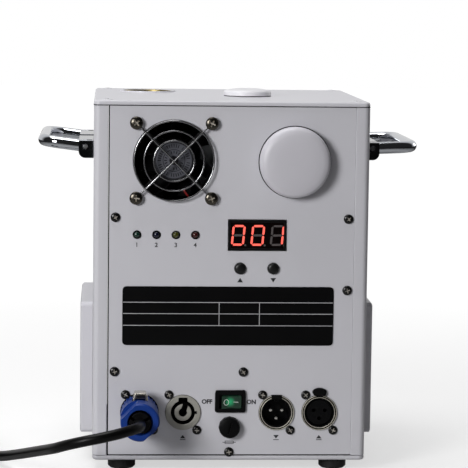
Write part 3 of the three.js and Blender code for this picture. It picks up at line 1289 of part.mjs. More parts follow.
// Power plug in its inlet, with a sliding latch on top and a chuck round the cable
function plugBody() {
  const start = PANEL_Y - CONNECTOR_PROUD - GAP;
  const end = start - PLUG_LENGTH;
  const collar = along(PLUG_COLLAR_RADIUS, start - PLUG_COLLAR, start, 0, 0, LARGE_SIDES);
  const body = along(PLUG_RADIUS, end, start - PLUG_COLLAR + GAP, 0, 0, LARGE_SIDES);
  const nose = along(PLUG_NOSE_RADIUS, start - GAP, PANEL_Y + PLUG_NOSE - GAP, 0, 0, LARGE_SIDES);
  const mouth = along(PLUG_MOUTH_RADIUS, end - OVERRUN, end + PLUG_MOUTH, 0, 0, MEDIUM_SIDES);
  const flat = box(
    [PLUG_FLAT, end - OVERRUN, -PLUG_RADIUS],
    [PLUG_RADIUS + OVERRUN, end + PLUG_FLAT_LENGTH, PLUG_RADIUS],
  );
  const flats = PLUG_FLAT_ANGLES_DEG.map((angle) => flat.rotate(0, -angle, 0));
  const [u, low] = [LATCH_WIDTH / 2 + GAP, latchSeat() - GAP];
  const latchStart = PANEL_Y - LATCH_FROM_PANEL;
  const bed = box(
    [-u, latchStart - LATCH_LENGTH - LATCH_TRAVEL - GAP, low],
    [u, latchStart + GAP, PLUG_COLLAR_RADIUS + OVERRUN],
  );
  return cut(join(collar, body, nose), mouth, ...flats, bed).translate(POWER_IN_X, 0, CONNECTOR_Z);
}

function latchSeat() {
  return PLUG_RADIUS - LATCH_SEAT;
}

function plugLatch() {
  const start = PANEL_Y - LATCH_FROM_PANEL;
  const u = LATCH_WIDTH / 2;
  const top = latchSeat() + LATCH_HEIGHT;
  const ridge = LATCH_LENGTH / 4;
  const shape = new THREE.Shape();
  shape.moveTo(start, latchSeat());
  shape.lineTo(start, top - LATCH_SEAT / 2);
  shape.lineTo(start - LATCH_LENGTH + ridge, top - LATCH_SEAT / 2);
  shape.lineTo(start - LATCH_LENGTH + ridge, top);
  shape.lineTo(start - LATCH_LENGTH, top);
  shape.lineTo(start - LATCH_LENGTH, latchSeat());
  shape.closePath();
  const slide = extruded(shape, LATCH_WIDTH).translate(0, 0, -u).rotate(90, 0, 0).rotate(0, 0, 90);
  return slide.translate(POWER_IN_X, 0, CONNECTOR_Z);
}

function plugChuck() {
  const end = PANEL_Y - CONNECTOR_PROUD - GAP - PLUG_LENGTH;
  const chuck = along(CHUCK_RADIUS, end - CHUCK_PROUD, end + PLUG_MOUTH - GAP, 0, 0, MEDIUM_SIDES);
  const jawGap = box(
    [-CORD_RADIUS / 4, end - CHUCK_PROUD - OVERRUN, CORD_RADIUS + GAP],
    [CORD_RADIUS / 4, end + PLUG_MOUTH / 2, PLUG_RADIUS],
  );
  const jawGaps = [60, 180, 300].map((angle) => jawGap.rotate(0, angle, 0));
  return cut(chuck, ...jawGaps).translate(POWER_IN_X, 0, CONNECTOR_Z);
}

// The free cable: out of the chuck, round to the left, down to the floor and to the coil.
// Each point is given across from the plug's axis, from the middle of the housing and up.
const CABLE_ROUTE = [
  [0, -130.5, 41.4], [0, -137, 41.5], [-0.1, -143.5, 42], [-1.4, -150.5, 42.6], [-4.2, -157, 42.9],
  [-8.8, -162.6, 42.6], [-14.8, -167, 41.8], [-21.8, -169.8, 40.7], [-29, -170.7, 39.3],
  [-36.6, -169.7, 37.6], [-43.4, -166.7, 35.5], [-49.4, -162, 33.1], [-54.2, -156.3, 30.6],
  [-61.2, -141.6, 26.2], [-69.2, -123.8, 21.2], [-77.2, -106.2, 16.2], [-85.2, -88.7, 11.4],
  [-91.2, -75.5, 7.9], [-96.4, -64, 5.4], [-101.2, -53, 4.1], [-105.8, -42.4, 3.7],
];

function coilAngle(turn) {
  return radians(COIL_START_DEG + 360 * turn);
}

// The coil spirals in on the floor and out again one layer up, climbing as it reverses
function coilPoint(turn) {
  const middle = COIL_TURNS / 2;
  const inward = turn < middle ? turn : COIL_TURNS - turn;
  const radius = COIL_RADIUS - COIL_PITCH * inward;
  const half = COIL_CLIMB_TURNS / 2;
  const climb = THREE.MathUtils.smoothstep(turn, middle - half, middle + half);
  const angle = coilAngle(turn);
  return new THREE.Vector3(
    COIL_X + radius * Math.cos(angle),
    COIL_Y + radius * Math.sin(angle),
    CORD_FLOOR + COIL_PITCH * climb,
  );
}

function coilHeading(turn) {
  const angle = coilAngle(turn);
  return new THREE.Vector3(-Math.sin(angle), Math.cos(angle), 0);
}

function coilRoute() {
  const steps = Math.round(COIL_TURNS * COIL_STEPS_PER_TURN);
  const points = [];
  for (let step = 0; step <= steps; step += 1) points.push(coilPoint((COIL_TURNS * step) / steps));
  const first = points[0].clone().addScaledVector(coilHeading(0), -COIL_TAIL);
  const last = points[steps].clone().addScaledVector(coilHeading(COIL_TURNS), COIL_TAIL);
  return [first, ...points, last];
}

function reportCoilGap(points) {
  const far = COIL_STEPS_PER_TURN / 2;
  let least = Infinity;
  for (let a = 0; a < points.length; a += 1) {
    for (let b = a + far; b < points.length; b += 1) {
      least = Math.min(least, points[a].distanceTo(points[b]) - 2 * CORD_RADIUS);
    }
  }
  console.log(`cable coil: least gap to itself ${least.toFixed(2)} mm`);
}

function freeCable() {
  const start = coilPoint(0).addScaledVector(coilHeading(0), -COIL_TAIL - GAP);
  const points = CABLE_ROUTE.map(([across, y, z]) => new THREE.Vector3(POWER_IN_X + across, y, z));
  const path = new THREE.CatmullRomCurve3([...points, start], false, 'centripetal');
  const section = circleSection(CORD_RADIUS, CORD_SIDES).map(([u, v]) => new THREE.Vector2(u, v));
  const settings = { extrudePath: path, steps: CORD_STEPS, bevelEnabled: false };
  return solid(new THREE.ExtrudeGeometry(new THREE.Shape(section), settings));
}

function cableCoil() {
  const points = coilRoute();
  reportCoilGap(points);
  return oriented(sweep(points, circleSection(CORD_RADIUS, COIL_SIDES)));
}

// Mains plug: body, two blades and an earth pin, drawn along +X from the cable's end
function mainsPlug() {
  const low = GAP;
  const bodyLow = low + MAINS_RELIEF;
  const bodyHigh = bodyLow + MAINS_BODY;
  const length = MAINS_RELIEF + OVERRUN;
  const relief = new THREE.CylinderGeometry(MAINS_RELIEF_WIDE, MAINS_RELIEF_NARROW, length, MEDIUM_SIDES);
  relief.rotateZ(radians(-90)).translate(low + length / 2, 0, 0);
  const slab = extruded(roundedRectangle(MAINS_THICKNESS, MAINS_WIDTH, MAINS_ROUND), MAINS_BODY);
  const body = slab.rotate(0, 90, 0).translate(bodyLow, 0, 0);
  const bladeZ = EARTH_OFFSET / 2;
  const blade = (side) => box(
    [bodyHigh - OVERRUN, (side * BLADE_SPACING) / 2 - BLADE_THICKNESS / 2, -bladeZ - BLADE_WIDTH / 2],
    [bodyHigh + BLADE_LENGTH, (side * BLADE_SPACING) / 2 + BLADE_THICKNESS / 2, -bladeZ + BLADE_WIDTH / 2],
  );
  const earth = rod(EARTH_RADIUS, bodyHigh - OVERRUN, bodyHigh + BLADE_LENGTH, SMALL_SIDES);
  const plug = join(solid(relief), body, blade(-1), blade(1), earth.translate(0, 0, bladeZ));
  const end = coilPoint(COIL_TURNS).addScaledVector(coilHeading(COIL_TURNS), COIL_TAIL);
  const heading = coilHeading(COIL_TURNS);
  const angle = THREE.MathUtils.radToDeg(Math.atan2(heading.y, heading.x));
  return plug.rotate(0, 0, angle).translate(end.x, end.y, end.z);
}

// The machine, put together
add('base_tray', baseTray(), POWDER_COAT);
add('rear_panel', rearPanel(), POWDER_COAT);
add('front_panel', frontPanel(), POWDER_COAT);
add('left_side_cover', sideCover(-1), POWDER_COAT);
add('right_side_cover', sideCover(1), POWDER_COAT);
add('top_lid', topLid(), POWDER_COAT);
for (const [name, u, v] of [
  ['rear_left_foot', -1, -1],
  ['rear_right_foot', 1, -1],
  ['front_left_foot', -1, 1],
  ['front_right_foot', 1, 1],
]) {
  const [x, y] = [u * (SIDE_X - FOOT_INSET), v * (HOUSING_DEPTH / 2 - FOOT_INSET)];
  add(name, foot().translate(x, y, 0), BLACK_RUBBER);
}
add('left_air_hood', airHood().mirror([1, 0, 0]), POWDER_COAT);
add('right_air_hood', airHood(), POWDER_COAT);
addHandle('left', -1, HANDLE_TILT_LEFT);
addHandle('right', 1, HANDLE_TILT_RIGHT);

add('cooling_fan_frame', fanFrame(), BLACK_PLASTIC);
add('cooling_fan_rotor', fanRotor(), BLACK_PLASTIC);
add('fan_guard', fanGuard(), CHROME);
add('service_port', servicePort(), WHITE_PLASTIC);
add('service_cap', serviceCap(), WHITE_PLASTIC);

add('control_board', controlBoard(), BOARD_GREEN);
for (let lamp = 0; lamp < LAMP_COUNT; lamp += 1) {
  add(`status_lamp_${lamp + 1}`, statusLamp(lamp), LAMP_FINISHES[lamp]);
}
add('display_module', displayModule(), BLACK_PLASTIC);
add('up_button', button(-1), BLACK_PLASTIC);
add('down_button', button(1), BLACK_PLASTIC);
add('rating_plate', ratingPlate(), PLATE_BLACK);

add('power_inlet', powerInlet(), GREY_PLASTIC);
add('power_outlet', powerOutlet(), GREY_PLASTIC);
add('data_in_socket', dataInSocket(), NICKEL);
add('data_out_socket', dataOutSocket(), NICKEL);
add('release_tab', releaseTab(), BLACK_PLASTIC);
add('switch_body', switchBody(), BLACK_PLASTIC);
const rockerMesh = add('rocker', rocker(), ROCKER_GREEN);
const pivotY = PANEL_Y - SWITCH_PROUD + ROCKER_PIVOT_BEHIND_FACE;
rockerMesh.position.set(SWITCH_X, pivotY, FOOT_HEIGHT + SWITCH_ABOVE_BASE);
rockerMesh.rotation.z = radians(ROCKER_THROW_DEG / 2);
add('fuse_holder', fuseHolder(), BLACK_PLASTIC);
add('fuse_cap', fuseCap(), BLACK_PLASTIC);

add('spark_barrel', barrel(), BRASS);
add('heater_sleeve', heaterSleeve(), CERAMIC);
add('granule_hopper', granuleHopper(), STEEL);
add('hopper_cap', hopperCap(), WHITE_PLASTIC);
add('feed_screw', feedScrew(), STEEL);
add('feed_motor', feedMotor(), STEEL);
add('blower_housing', blowerHousing(), BLACK_PLASTIC);
add('blower_impeller', blowerImpeller(), GREY_PLASTIC);
add('power_supply', powerSupply(), STEEL);

add('power_plug', plugBody(), BLUE_PLASTIC);
add('plug_latch', plugLatch(), NICKEL);
add('plug_chuck', plugChuck(), BLACK_PLASTIC);
add('supply_cable', freeCable(), BLACK_RUBBER);
add('cable_coil', cableCoil(), BLACK_RUBBER);
add('mains_plug', mainsPlug(), BLACK_RUBBER);

// The origin lies under the middle of the machine, between the service cap and the front
machine.position.y = (SERVICE_CAP_PROUD - PANEL_RECESS) / 2;

const group = new THREE.Group();
group.add(machine);
export default group;
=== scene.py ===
from math import atan2, cos, hypot, pi, radians, sin, sqrt

import bmesh
import bpy
from mathutils import Matrix, Vector


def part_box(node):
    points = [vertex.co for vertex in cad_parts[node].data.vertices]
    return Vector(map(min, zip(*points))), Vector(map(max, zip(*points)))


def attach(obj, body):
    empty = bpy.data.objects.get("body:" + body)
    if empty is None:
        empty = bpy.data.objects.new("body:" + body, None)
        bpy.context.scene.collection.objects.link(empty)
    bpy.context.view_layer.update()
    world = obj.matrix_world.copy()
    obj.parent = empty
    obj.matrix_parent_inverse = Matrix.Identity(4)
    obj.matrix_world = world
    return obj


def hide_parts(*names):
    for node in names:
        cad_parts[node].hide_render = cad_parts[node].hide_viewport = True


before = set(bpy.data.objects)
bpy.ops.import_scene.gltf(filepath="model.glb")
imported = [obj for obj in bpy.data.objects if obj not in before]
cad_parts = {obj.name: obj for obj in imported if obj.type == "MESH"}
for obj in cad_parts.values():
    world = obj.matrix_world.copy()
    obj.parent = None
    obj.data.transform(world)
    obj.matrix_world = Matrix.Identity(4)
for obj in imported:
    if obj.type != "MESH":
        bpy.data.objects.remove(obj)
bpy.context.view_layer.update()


# ---- Camera ----
# The picture is taken from a metre and a half behind the rear panel, a little to its left
# and above it, with a long lens, so the box shows its panel, its lid and a sliver of each side.
camera_data = bpy.data.cameras.new("picture_camera")
camera_data.sensor_fit = "HORIZONTAL"
camera_data.sensor_width = 36
picture_width, focal_pixels = 468, 2166.8
camera_data.lens = camera_data.sensor_width * focal_pixels / picture_width
camera_data.clip_start, camera_data.clip_end = 0.05, 20
camera = bpy.data.objects.new("picture_camera", camera_data)
heading, dip, lean = radians(3.38), radians(6.32), radians(0.72)
forward = Vector((sin(heading) * cos(dip), cos(heading) * cos(dip), -sin(dip)))
level = Vector((cos(heading), -sin(heading), 0))
upward = level.cross(forward)
right = cos(lean) * level + sin(lean) * upward
up = -sin(lean) * level + cos(lean) * upward
stand = Vector((-0.0835, -1.5295, 0.3231))
camera.matrix_world = Matrix((*zip(right, up, -forward, stand), (0, 0, 0, 1)))
bpy.context.scene.collection.objects.link(camera)
bpy.context.scene.camera = camera


# ---- Supply cable ----
# A 7 mm black flexible lead. It leaves the blue plug level, bends to the left and comes down
# to the ground, and the length that isn't in use lies beside the machine in a flat round coil.
def paint(red, green, blue):
    """A colour as a painter reads it off a card, from 0 to 255, for a shader's socket."""
    channels = [c / 255 for c in (red, green, blue)]
    return [c / 12.92 if c <= 0.04045 else ((c + 0.055) / 1.055) ** 2.4 for c in channels] + [1]


def node_group(name, inputs, outputs):
    """An empty shader group with its sockets, and the nodes that carry them in and out."""
    group = bpy.data.node_groups.new(name, "ShaderNodeTree")
    for label, kind, value in inputs:
        socket = group.interface.new_socket(name=label, in_out="INPUT", socket_type=kind)
        socket.default_value = value
    for label, kind in outputs:
        group.interface.new_socket(name=label, in_out="OUTPUT", socket_type=kind)
    return group, group.nodes.new("NodeGroupInput"), group.nodes.new("NodeGroupOutput")


def shader_node(tree, kind, inputs, **settings):
    """A node with its settings, each input given a value or joined to another node's output."""
    node = tree.nodes.new("ShaderNode" + kind)
    for setting, value in settings.items():
        setattr(node, setting, value)
    for label, value in inputs.items():
        if isinstance(value, bpy.types.NodeSocket):
            tree.links.new(value, node.inputs[label])
        else:
            node.inputs[label].default_value = value
    return node


# Fine grain: the small unevenness of a coated, moulded or rolled skin. Two sizes of noise
# cloud the colour and the gloss, and the finer one is also the height that the light catches.
fine_grain, grain_in, grain_out = node_group(
    "Fine grain",
    [("Color", "NodeSocketColor", (0.5, 0.5, 0.5, 1)), ("Clouding", "NodeSocketFloat", 0.05),
     ("Grains per metre", "NodeSocketFloat", 900), ("Roughness", "NodeSocketFloat", 0.5),
     ("Roughness spread", "NodeSocketFloat", 0.1)],
    [("Color", "NodeSocketColor"), ("Roughness", "NodeSocketFloat"), ("Height", "NodeSocketFloat")])
grain_place = shader_node(fine_grain, "TexCoord", {}).outputs["Object"]
grain_fine = shader_node(fine_grain, "TexNoise", {
    "Vector": grain_place, "Scale": grain_in.outputs["Grains per metre"], "Detail": 3})
grain_cloud = shader_node(fine_grain, "TexNoise", {"Vector": grain_place, "Scale": 38, "Detail": 4})
cloud_centred = shader_node(fine_grain, "Math", {0: grain_cloud.outputs["Fac"], 1: 0.5}, operation="SUBTRACT")
grain_shade = shader_node(fine_grain, "Math", {
    0: cloud_centred.outputs[0], 1: grain_in.outputs["Clouding"], 2: 1}, operation="MULTIPLY_ADD")
grain_tint = shader_node(fine_grain, "VectorMath", {
    0: grain_in.outputs["Color"], "Scale": grain_shade.outputs[0]}, operation="SCALE")
grain_gloss = shader_node(fine_grain, "Math", {
    0: cloud_centred.outputs[0], 1: grain_in.outputs["Roughness spread"], 2: grain_in.outputs["Roughness"]},
    operation="MULTIPLY_ADD", use_clamp=True)
for label, found in (("Color", grain_tint.outputs[0]), ("Roughness", grain_gloss.outputs[0]),
                     ("Height", grain_fine.outputs["Fac"])):
    fine_grain.links.new(found, grain_out.inputs[label])


def skin(name, color, roughness, clouding=0.06, grains=900, spread=0.12, relief=0.15, depth=0.00006,
         metallic=0.0, coat=0.0, specular=0.5, glow=None, glow_strength=0.0):
    """A finish: the shader's own sockets hold what is the same all over, and Fine grain the rest."""
    material = bpy.data.materials.new(name)
    material.use_nodes = True
    tree = material.node_tree
    shader = tree.nodes["Principled BSDF"]
    for label, value in (("Metallic", metallic), ("Coat Weight", coat), ("Coat Roughness", 0.12),
                         ("Specular IOR Level", specular)):
        shader.inputs[label].default_value = value
    if glow:
        shader.inputs["Emission Color"].default_value = glow
        shader.inputs["Emission Strength"].default_value = glow_strength
    grain = shader_node(tree, "Group", {"Color": color, "Clouding": clouding, "Grains per metre": grains,
                                        "Roughness": roughness, "Roughness spread": spread},
                        node_tree=fine_grain, name="Fine grain")
    bump = shader_node(tree, "Bump", {
        "Strength": relief, "Distance": depth, "Height": grain.outputs["Height"]})
    for label, found in (("Base Color", grain.outputs["Color"]), ("Roughness", grain.outputs["Roughness"]),
                         ("Normal", bump.outputs["Normal"])):
        tree.links.new(found, shader.inputs[label])
    return material


def new_piece(name, mesh, finish, crease=None):
    """Puts a mesh in the scene in one finish, smooth but for edges that turn by more than the crease."""
    mesh.materials.clear()
    mesh.materials.append(finish)
    if crease:
        for face in mesh.polygons:
            face.use_smooth = True
        mesh.set_sharp_from_angle(angle=radians(crease))
    piece = bpy.data.objects.new(name, mesh)
    bpy.context.scene.collection.objects.link(piece)
    return piece


def piece_from(name, corners, faces, finish, crease=32):
    """A piece built from its corner points and the faces between them."""
    mesh = bpy.data.meshes.new(name)
    mesh.from_pydata([tuple(c) for c in corners], [], faces)
    mesh.update()
    return new_piece(name, mesh, finish, crease)


def drawn_tube(name, path, radius, finish, sides=20):
    """A round tube along points, its section carried on without twist, with flat ends."""
    tangents = [(path[min(i + 1, len(path) - 1)] - path[max(i - 1, 0)]).normalized()
                for i in range(len(path))]
    side = tangents[0].orthogonal().normalized()
    corners, faces = [], []
    for place, tangent in zip(path, tangents):
        side = (side - tangent * side.dot(tangent)).normalized()
        rise = tangent.cross(side)
        for k in range(sides):
            turn = 2 * pi * k / sides
            corners.append(place + radius * (cos(turn) * side + sin(turn) * rise))
    for i in range(len(path) - 1):
        for k in range(sides):
            a, b = i * sides + k, i * sides + (k + 1) % sides
            faces.append((a, b, b + sides, a + sides))
    last = (len(path) - 1) * sides
    faces.append(tuple(reversed(range(sides))))
    faces.append(tuple(range(last, last + sides)))
    return piece_from(name, corners, faces, finish)


def smooth_route(points, between):
    """The centripetal Catmull-Rom line through points, with so many steps between each two."""
    padded = [2 * points[0] - points[1], *points, 2 * points[-1] - points[-2]]
    line = []
    for a, b, c, d in zip(padded, padded[1:], padded[2:], padded[3:]):
        ta, tb, tc = sqrt((b - a).length), sqrt((c - b).length), sqrt((d - c).length)
        start = ((b - a) / ta - (c - a) / (ta + tb) + (c - b) / tb) * tb
        stop = ((c - b) / tb - (d - b) / (tb + tc) + (d - c) / tc) * tb
        for step in range(between):
            t = step / between
            line.append((2 * t**3 - 3 * t**2 + 1) * b + (t**3 - 2 * t**2 + t) * start
                        + (-2 * t**3 + 3 * t**2) * c + (t**3 - t**2) * stop)
    return line + [points[-1]]


# The route and the coil are drawn in millimetres on the ground, and ground_shift carries them
# forward to where the machine stands.
ground_shift = 5.5
cable_route = [
    (-60.8, -130.5, 41.4), (-60.8, -137, 41.5), (-60.9, -143.5, 42), (-62.2, -150.5, 42.6), (-65, -157, 42.9),
    (-69.6, -162.6, 42.6), (-75.6, -167, 41.8), (-82.6, -169.8, 40.7), (-89.8, -170.7, 39.3),
    (-97.4, -169.7, 37.6), (-104.2, -166.7, 35.5), (-110.2, -162, 33.1), (-115, -156.3, 30.6),
    (-122, -141.6, 26.2), (-130, -123.8, 21.2), (-138, -106.2, 16.2), (-146, -88.7, 11.4),
    (-152, -75.5, 7.9), (-157.2, -64, 5.4), (-162, -53, 4.1), (-166.6, -42.4, 3.7),
]
coil_middle, coil_radius, coil_pitch, coil_turns = (-218, -44), 48, 7.6, 5.436
coil_start, coil_tail, coil_height = 23, 7, 3.6


def coil_place(turn):
    """A point of the coil: in along the ground, up a layer in half a turn, and out again."""
    inward = min(turn, coil_turns - turn)
    share = min(max(turn - coil_turns / 2 + 0.25, 0) / 0.5, 1)
    angle, reach = radians(coil_start + 360 * turn), coil_radius - coil_pitch * inward
    height = coil_height + coil_pitch * share * share * (3 - 2 * share)
    return Vector((coil_middle[0] + reach * cos(angle), coil_middle[1] + reach * sin(angle), height))


def coil_heading(turn):
    """The way the cable runs at a point of the coil."""
    angle = radians(coil_start + 360 * turn)
    return Vector((-sin(angle), cos(angle), 0))


coil_steps = round(coil_turns * 48)
coil_line = [coil_place(coil_turns * step / coil_steps) for step in range(coil_steps + 1)]
coil_entry = coil_line[0] - coil_heading(0) * coil_tail
coil_exit = coil_line[-1] + coil_heading(coil_turns) * coil_tail
cable_line = smooth_route([Vector(p) for p in cable_route] + [coil_entry], 4) + coil_line + [coil_exit]
cable_line = [Vector((p.x, p.y + ground_shift, p.z)) / 1000 for p in cable_line]
cable_jacket = skin("Black cable jacket", paint(8, 8, 8), 0.34, clouding=0.25, grains=1400, relief=0.15,
                    specular=0.14)
cable = drawn_tube("supply_lead", cable_line, 0.0035, cable_jacket)
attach(cable, "machine")
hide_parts("supply_cable", "cable_coil")


# ---- Mains plug ----
# A moulded rubber plug on the far end of the lead, with a tapering ribbed sleeve that takes
# the bending, two flat blades and a round earth pin of nickel-plated brass.
def softened(outline, radius, steps=4):
    """A closed outline of 2-D points with each corner rounded, as far as its sides allow."""
    points = []
    for i, corner in enumerate(outline):
        here = Vector(corner)
        before, after = Vector(outline[i - 1]) - here, Vector(outline[(i + 1) % len(outline)]) - here
        if not before.length or not after.length:
            continue
        turn = before.angle(after)
        reach = min(radius / max(sin(turn / 2) / cos(turn / 2), 1e-6) if turn < 3.1 else 0,
                    0.45 * before.length, 0.45 * after.length)
        if reach < 1e-6:
            points.append(here)
            continue
        start, stop = here + before.normalized() * reach, here + after.normalized() * reach
        for step in range(steps + 1):
            t = step / steps
            points.append((1 - t) ** 2 * start + 2 * t * (1 - t) * here + t * t * stop)
    return points


def face_outward(mesh, weld=0.0):
    """Turns every face outward, after joining the points that lie within the weld distance."""
    bm = bmesh.new()
    bm.from_mesh(mesh)
    if weld:
        bmesh.ops.remove_doubles(bm, verts=bm.verts, dist=weld)
    bmesh.ops.recalc_face_normals(bm, faces=bm.faces)
    bm.to_mesh(mesh)
    bm.free()


def turned_piece(name, outline, place, axis, finish, steps=56, crease=32):
    """A piece turned on a lathe: outline points (radius, distance along axis), open or closed."""
    axis = Vector(axis).normalized()
    side = axis.orthogonal().normalized()
    rise = axis.cross(side)
    closed = outline[0][0] > 1e-6 or outline[-1][0] > 1e-6
    corners, rings, faces = [], [], []
    for radius, along in outline:
        middle = Vector(place) + axis * along
        if radius < 1e-6:
            rings.append([len(corners)] * steps)
            corners.append(middle)
            continue
        rings.append(list(range(len(corners), len(corners) + steps)))
        for k in range(steps):
            turn = 2 * pi * k / steps
            corners.append(middle + radius * (cos(turn) * side + sin(turn) * rise))
    pairs = list(zip(rings, rings[1:])) + ([(rings[-1], rings[0])] if closed else [])
    for low, high in pairs:
        for k in range(steps):
            n = (k + 1) % steps
            face = list(dict.fromkeys((low[k], low[n], high[n], high[k])))
            if len(face) > 2:
                faces.append(face)
    piece = piece_from(name, corners, faces, finish, crease)
    face_outward(piece.data)
    return piece


def turned_outline(points, radius):
    """The outline of a turned piece with its corners eased, its ends left on the axis."""
    if points[0][0] or points[-1][0]:
        return [tuple(p) for p in softened(points, radius, 3)]
    mirrored = points + [(-x, y) for x, y in reversed(points[1:-1])]
    eased = softened(mirrored, radius, 3)
    half = [(p[0], p[1]) for p in eased if p[0] > 1e-7]
    return [(0, half[0][1])] + half + [(0, half[-1][1])]


def settle(piece):
    """Applies a piece's modifiers, so that its mesh is what is seen."""
    bpy.context.view_layer.update()
    seen = piece.evaluated_get(bpy.context.evaluated_depsgraph_get())
    mesh = bpy.data.meshes.new_from_object(seen)
    piece.modifiers.clear()
    piece.data = mesh


def shade_evenly(piece):
    """Lets the large faces set the shading, so that a flat side stays flat up to its eased edge."""
    shading = piece.modifiers.new("Even shading", "WEIGHTED_NORMAL")
    shading.weight, shading.keep_sharp = 100, True
    settle(piece)


def block_piece(name, low, high, finish, easing=0.0004, steps=3):
    """A solid block between two corners, with its edges eased."""
    size = [b - a for a, b in zip(low, high)]
    bm = bmesh.new()
    bmesh.ops.create_cube(bm, size=1)
    bmesh.ops.scale(bm, vec=size, verts=bm.verts)
    bmesh.ops.translate(bm, vec=[(a + b) / 2 for a, b in zip(low, high)], verts=bm.verts)
    bmesh.ops.bevel(bm, geom=list(bm.edges), offset=min(easing, 0.45 * min(size)), segments=steps,
                    profile=0.5, affect="EDGES")
    mesh = bpy.data.meshes.new(name)
    bm.to_mesh(mesh)
    bm.free()
    piece = new_piece(name, mesh, finish, 25 if steps < 3 else 50)
    if steps > 2:
        shade_evenly(piece)
    return piece


plug_rubber = skin("Moulded plug rubber", paint(24, 24, 25), 0.5, clouding=0.2, grains=1600, relief=0.3)
pin_nickel = skin("Plated contact", paint(196, 190, 176), 0.26, clouding=0.1, metallic=1.0, relief=0.08)
plug_heading = coil_heading(coil_turns)
plug_end = Vector((coil_exit.x, coil_exit.y + ground_shift, coil_exit.z)) / 1000
plug_turn = Matrix.Translation(plug_end) @ Matrix.Rotation(atan2(plug_heading.y, plug_heading.x), 4, "Z")
sleeve_outline = [(0, 0.3)]
for rib in range(7):
    start, wide = 0.3 + rib * 4.4, 4.5 + 3.0 * rib / 7
    sleeve_outline += [(wide, start), (wide + 0.3, start + 2.9), (wide - 0.7, start + 3.0),
                       (wide - 0.7, start + 4.4)]
sleeve_outline += [(7.4, 31.2), (7.4, 33.5), (0, 33.5)]
sleeve = turned_piece("mains_plug_sleeve",
                      turned_outline([(r / 1000, h / 1000) for r, h in sleeve_outline], 0.0003),
                      (0, 0, 0), (1, 0, 0), plug_rubber)
body_part = block_piece("mains_plug_body", (0.0323, -0.012, -0.010), (0.0623, 0.012, 0.010), plug_rubber,
                        0.0055, 6)
grips = []
for side in (-1, 1):
    for rib in range(5):
        x, inner, outer = 0.037 + rib * 0.0036, side * 0.0112, side * 0.012
        grips.append(block_piece(f"mains_plug_grip_{(side + 1) // 2}_{rib}", (x, min(inner, outer), -0.0062),
                                 (x + 0.0016, max(inner, outer), 0.0062), plug_rubber, 0.0003, 2))
blades = [block_piece(f"mains_plug_blade_{number}", (0.060, y - 0.00075, -0.0067),
                      (0.0793, y + 0.00075, -0.0003), pin_nickel, 0.0004)
          for number, y in ((1, -0.00635), (2, 0.00635))]
earth = turned_piece("mains_plug_earth_pin",
                     turned_outline([(0, 0.06), (0.0024, 0.06), (0.0024, 0.0793), (0, 0.0793)], 0.0016),
                     (0, 0, 0.0035), (1, 0, 0), pin_nickel, 28)
for part in (sleeve, body_part, *grips, *blades, earth):
    part.matrix_world = plug_turn
    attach(part, "machine")
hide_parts("mains_plug")

# A woven black hook-and-loop strap holds the coil's turns together at one place.
strap_weave = skin("Woven strap", paint(30, 30, 32), 0.85, clouding=0.3, grains=2600, relief=0.9,
                   depth=0.0002)
strap_angle, strap_reach = radians(-64), 37.5
strap_middle = Vector((coil_middle[0] + strap_reach * cos(strap_angle),
                       coil_middle[1] + strap_reach * sin(strap_angle), 7.5))
strap_out = Vector((cos(strap_angle), sin(strap_angle), 0))
strap_loop = softened([(-16.0, -7.35), (15.0, -7.35), (15.0, 7.7), (-16.0, 7.7)], 4.5, 6)
strap_corners, strap_faces = [], []
for width in (-6.5, 6.5):
    for scale in (0.0, 0.7):
        for u, v in strap_loop:
            grow = Vector((u, v)).normalized() * scale if v > -7 else Vector((0, 0))
            spot = strap_middle + strap_out * (u + grow.x) + Vector((0, 0, v + grow.y))
            spot += Vector((-strap_out.y, strap_out.x, 0)) * width
            strap_corners.append(Vector((spot.x, spot.y + ground_shift, spot.z)) / 1000)
count = len(strap_loop)
for k in range(count):
    n = (k + 1) % count
    inner_a, outer_a, inner_b, outer_b = 0, count, 2 * count, 3 * count
    strap_faces += [(outer_a + k, outer_a + n, outer_b + n, outer_b + k),
                    (inner_a + n, inner_a + k, inner_b + k, inner_b + n),
                    (inner_a + k, inner_a + n, outer_a + n, outer_a + k),
                    (inner_b + n, inner_b + k, outer_b + k, outer_b + n)]
strap = piece_from("coil_strap", strap_corners, strap_faces, strap_weave)
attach(strap, "machine")


# ---- Floor, backdrop and light ----
# A pale paper floor and a white backdrop behind the machine, in a dark room. One soft lamp
# stands on the left, one lies overhead, and a weak one behind on the right draws the edge.
floor_paper = bpy.data.materials.new("White floor paper")
floor_paper.use_nodes = True
floor_tree = floor_paper.node_tree
floor_shader = floor_tree.nodes["Principled BSDF"]
floor_shader.inputs["Roughness"].default_value = 0.9
floor_shader.inputs["Specular IOR Level"].default_value = 0.1
floor_shader.inputs["Emission Color"].default_value = (1, 1, 1, 1)
floor_fibre = shader_node(floor_tree, "TexNoise", {"Scale": 60})
floor_tone = shader_node(floor_tree, "MapRange", {
    "Value": floor_fibre.outputs["Fac"], "To Min": 0.44, "To Max": 0.47})
floor_spot = shader_node(floor_tree, "TexCoord", {})
floor_reach = shader_node(floor_tree, "VectorMath", {0: floor_spot.outputs["Object"]}, operation="LENGTH")
near_edge, far_edge = 0.28, 0.85
floor_fade, floor_edge = [shader_node(floor_tree, "MapRange", {
    "Value": floor_reach.outputs["Value"], "From Min": near_edge, "From Max": far_edge,
    "To Min": near, "To Max": far}) for near, far in ((0.60, 1.0), (1.0, 0.06))]
floor_paint = shader_node(floor_tree, "Math", {
    0: floor_tone.outputs["Result"], 1: floor_edge.outputs["Result"]}, operation="MULTIPLY")
floor_tree.links.new(floor_paint.outputs[0], floor_shader.inputs["Base Color"])
floor_seen = shader_node(floor_tree, "LightPath", {})
floor_any = shader_node(floor_tree, "Math", {
    0: floor_seen.outputs["Is Camera Ray"], 1: floor_seen.outputs["Is Transmission Ray"]},
    operation="MAXIMUM")
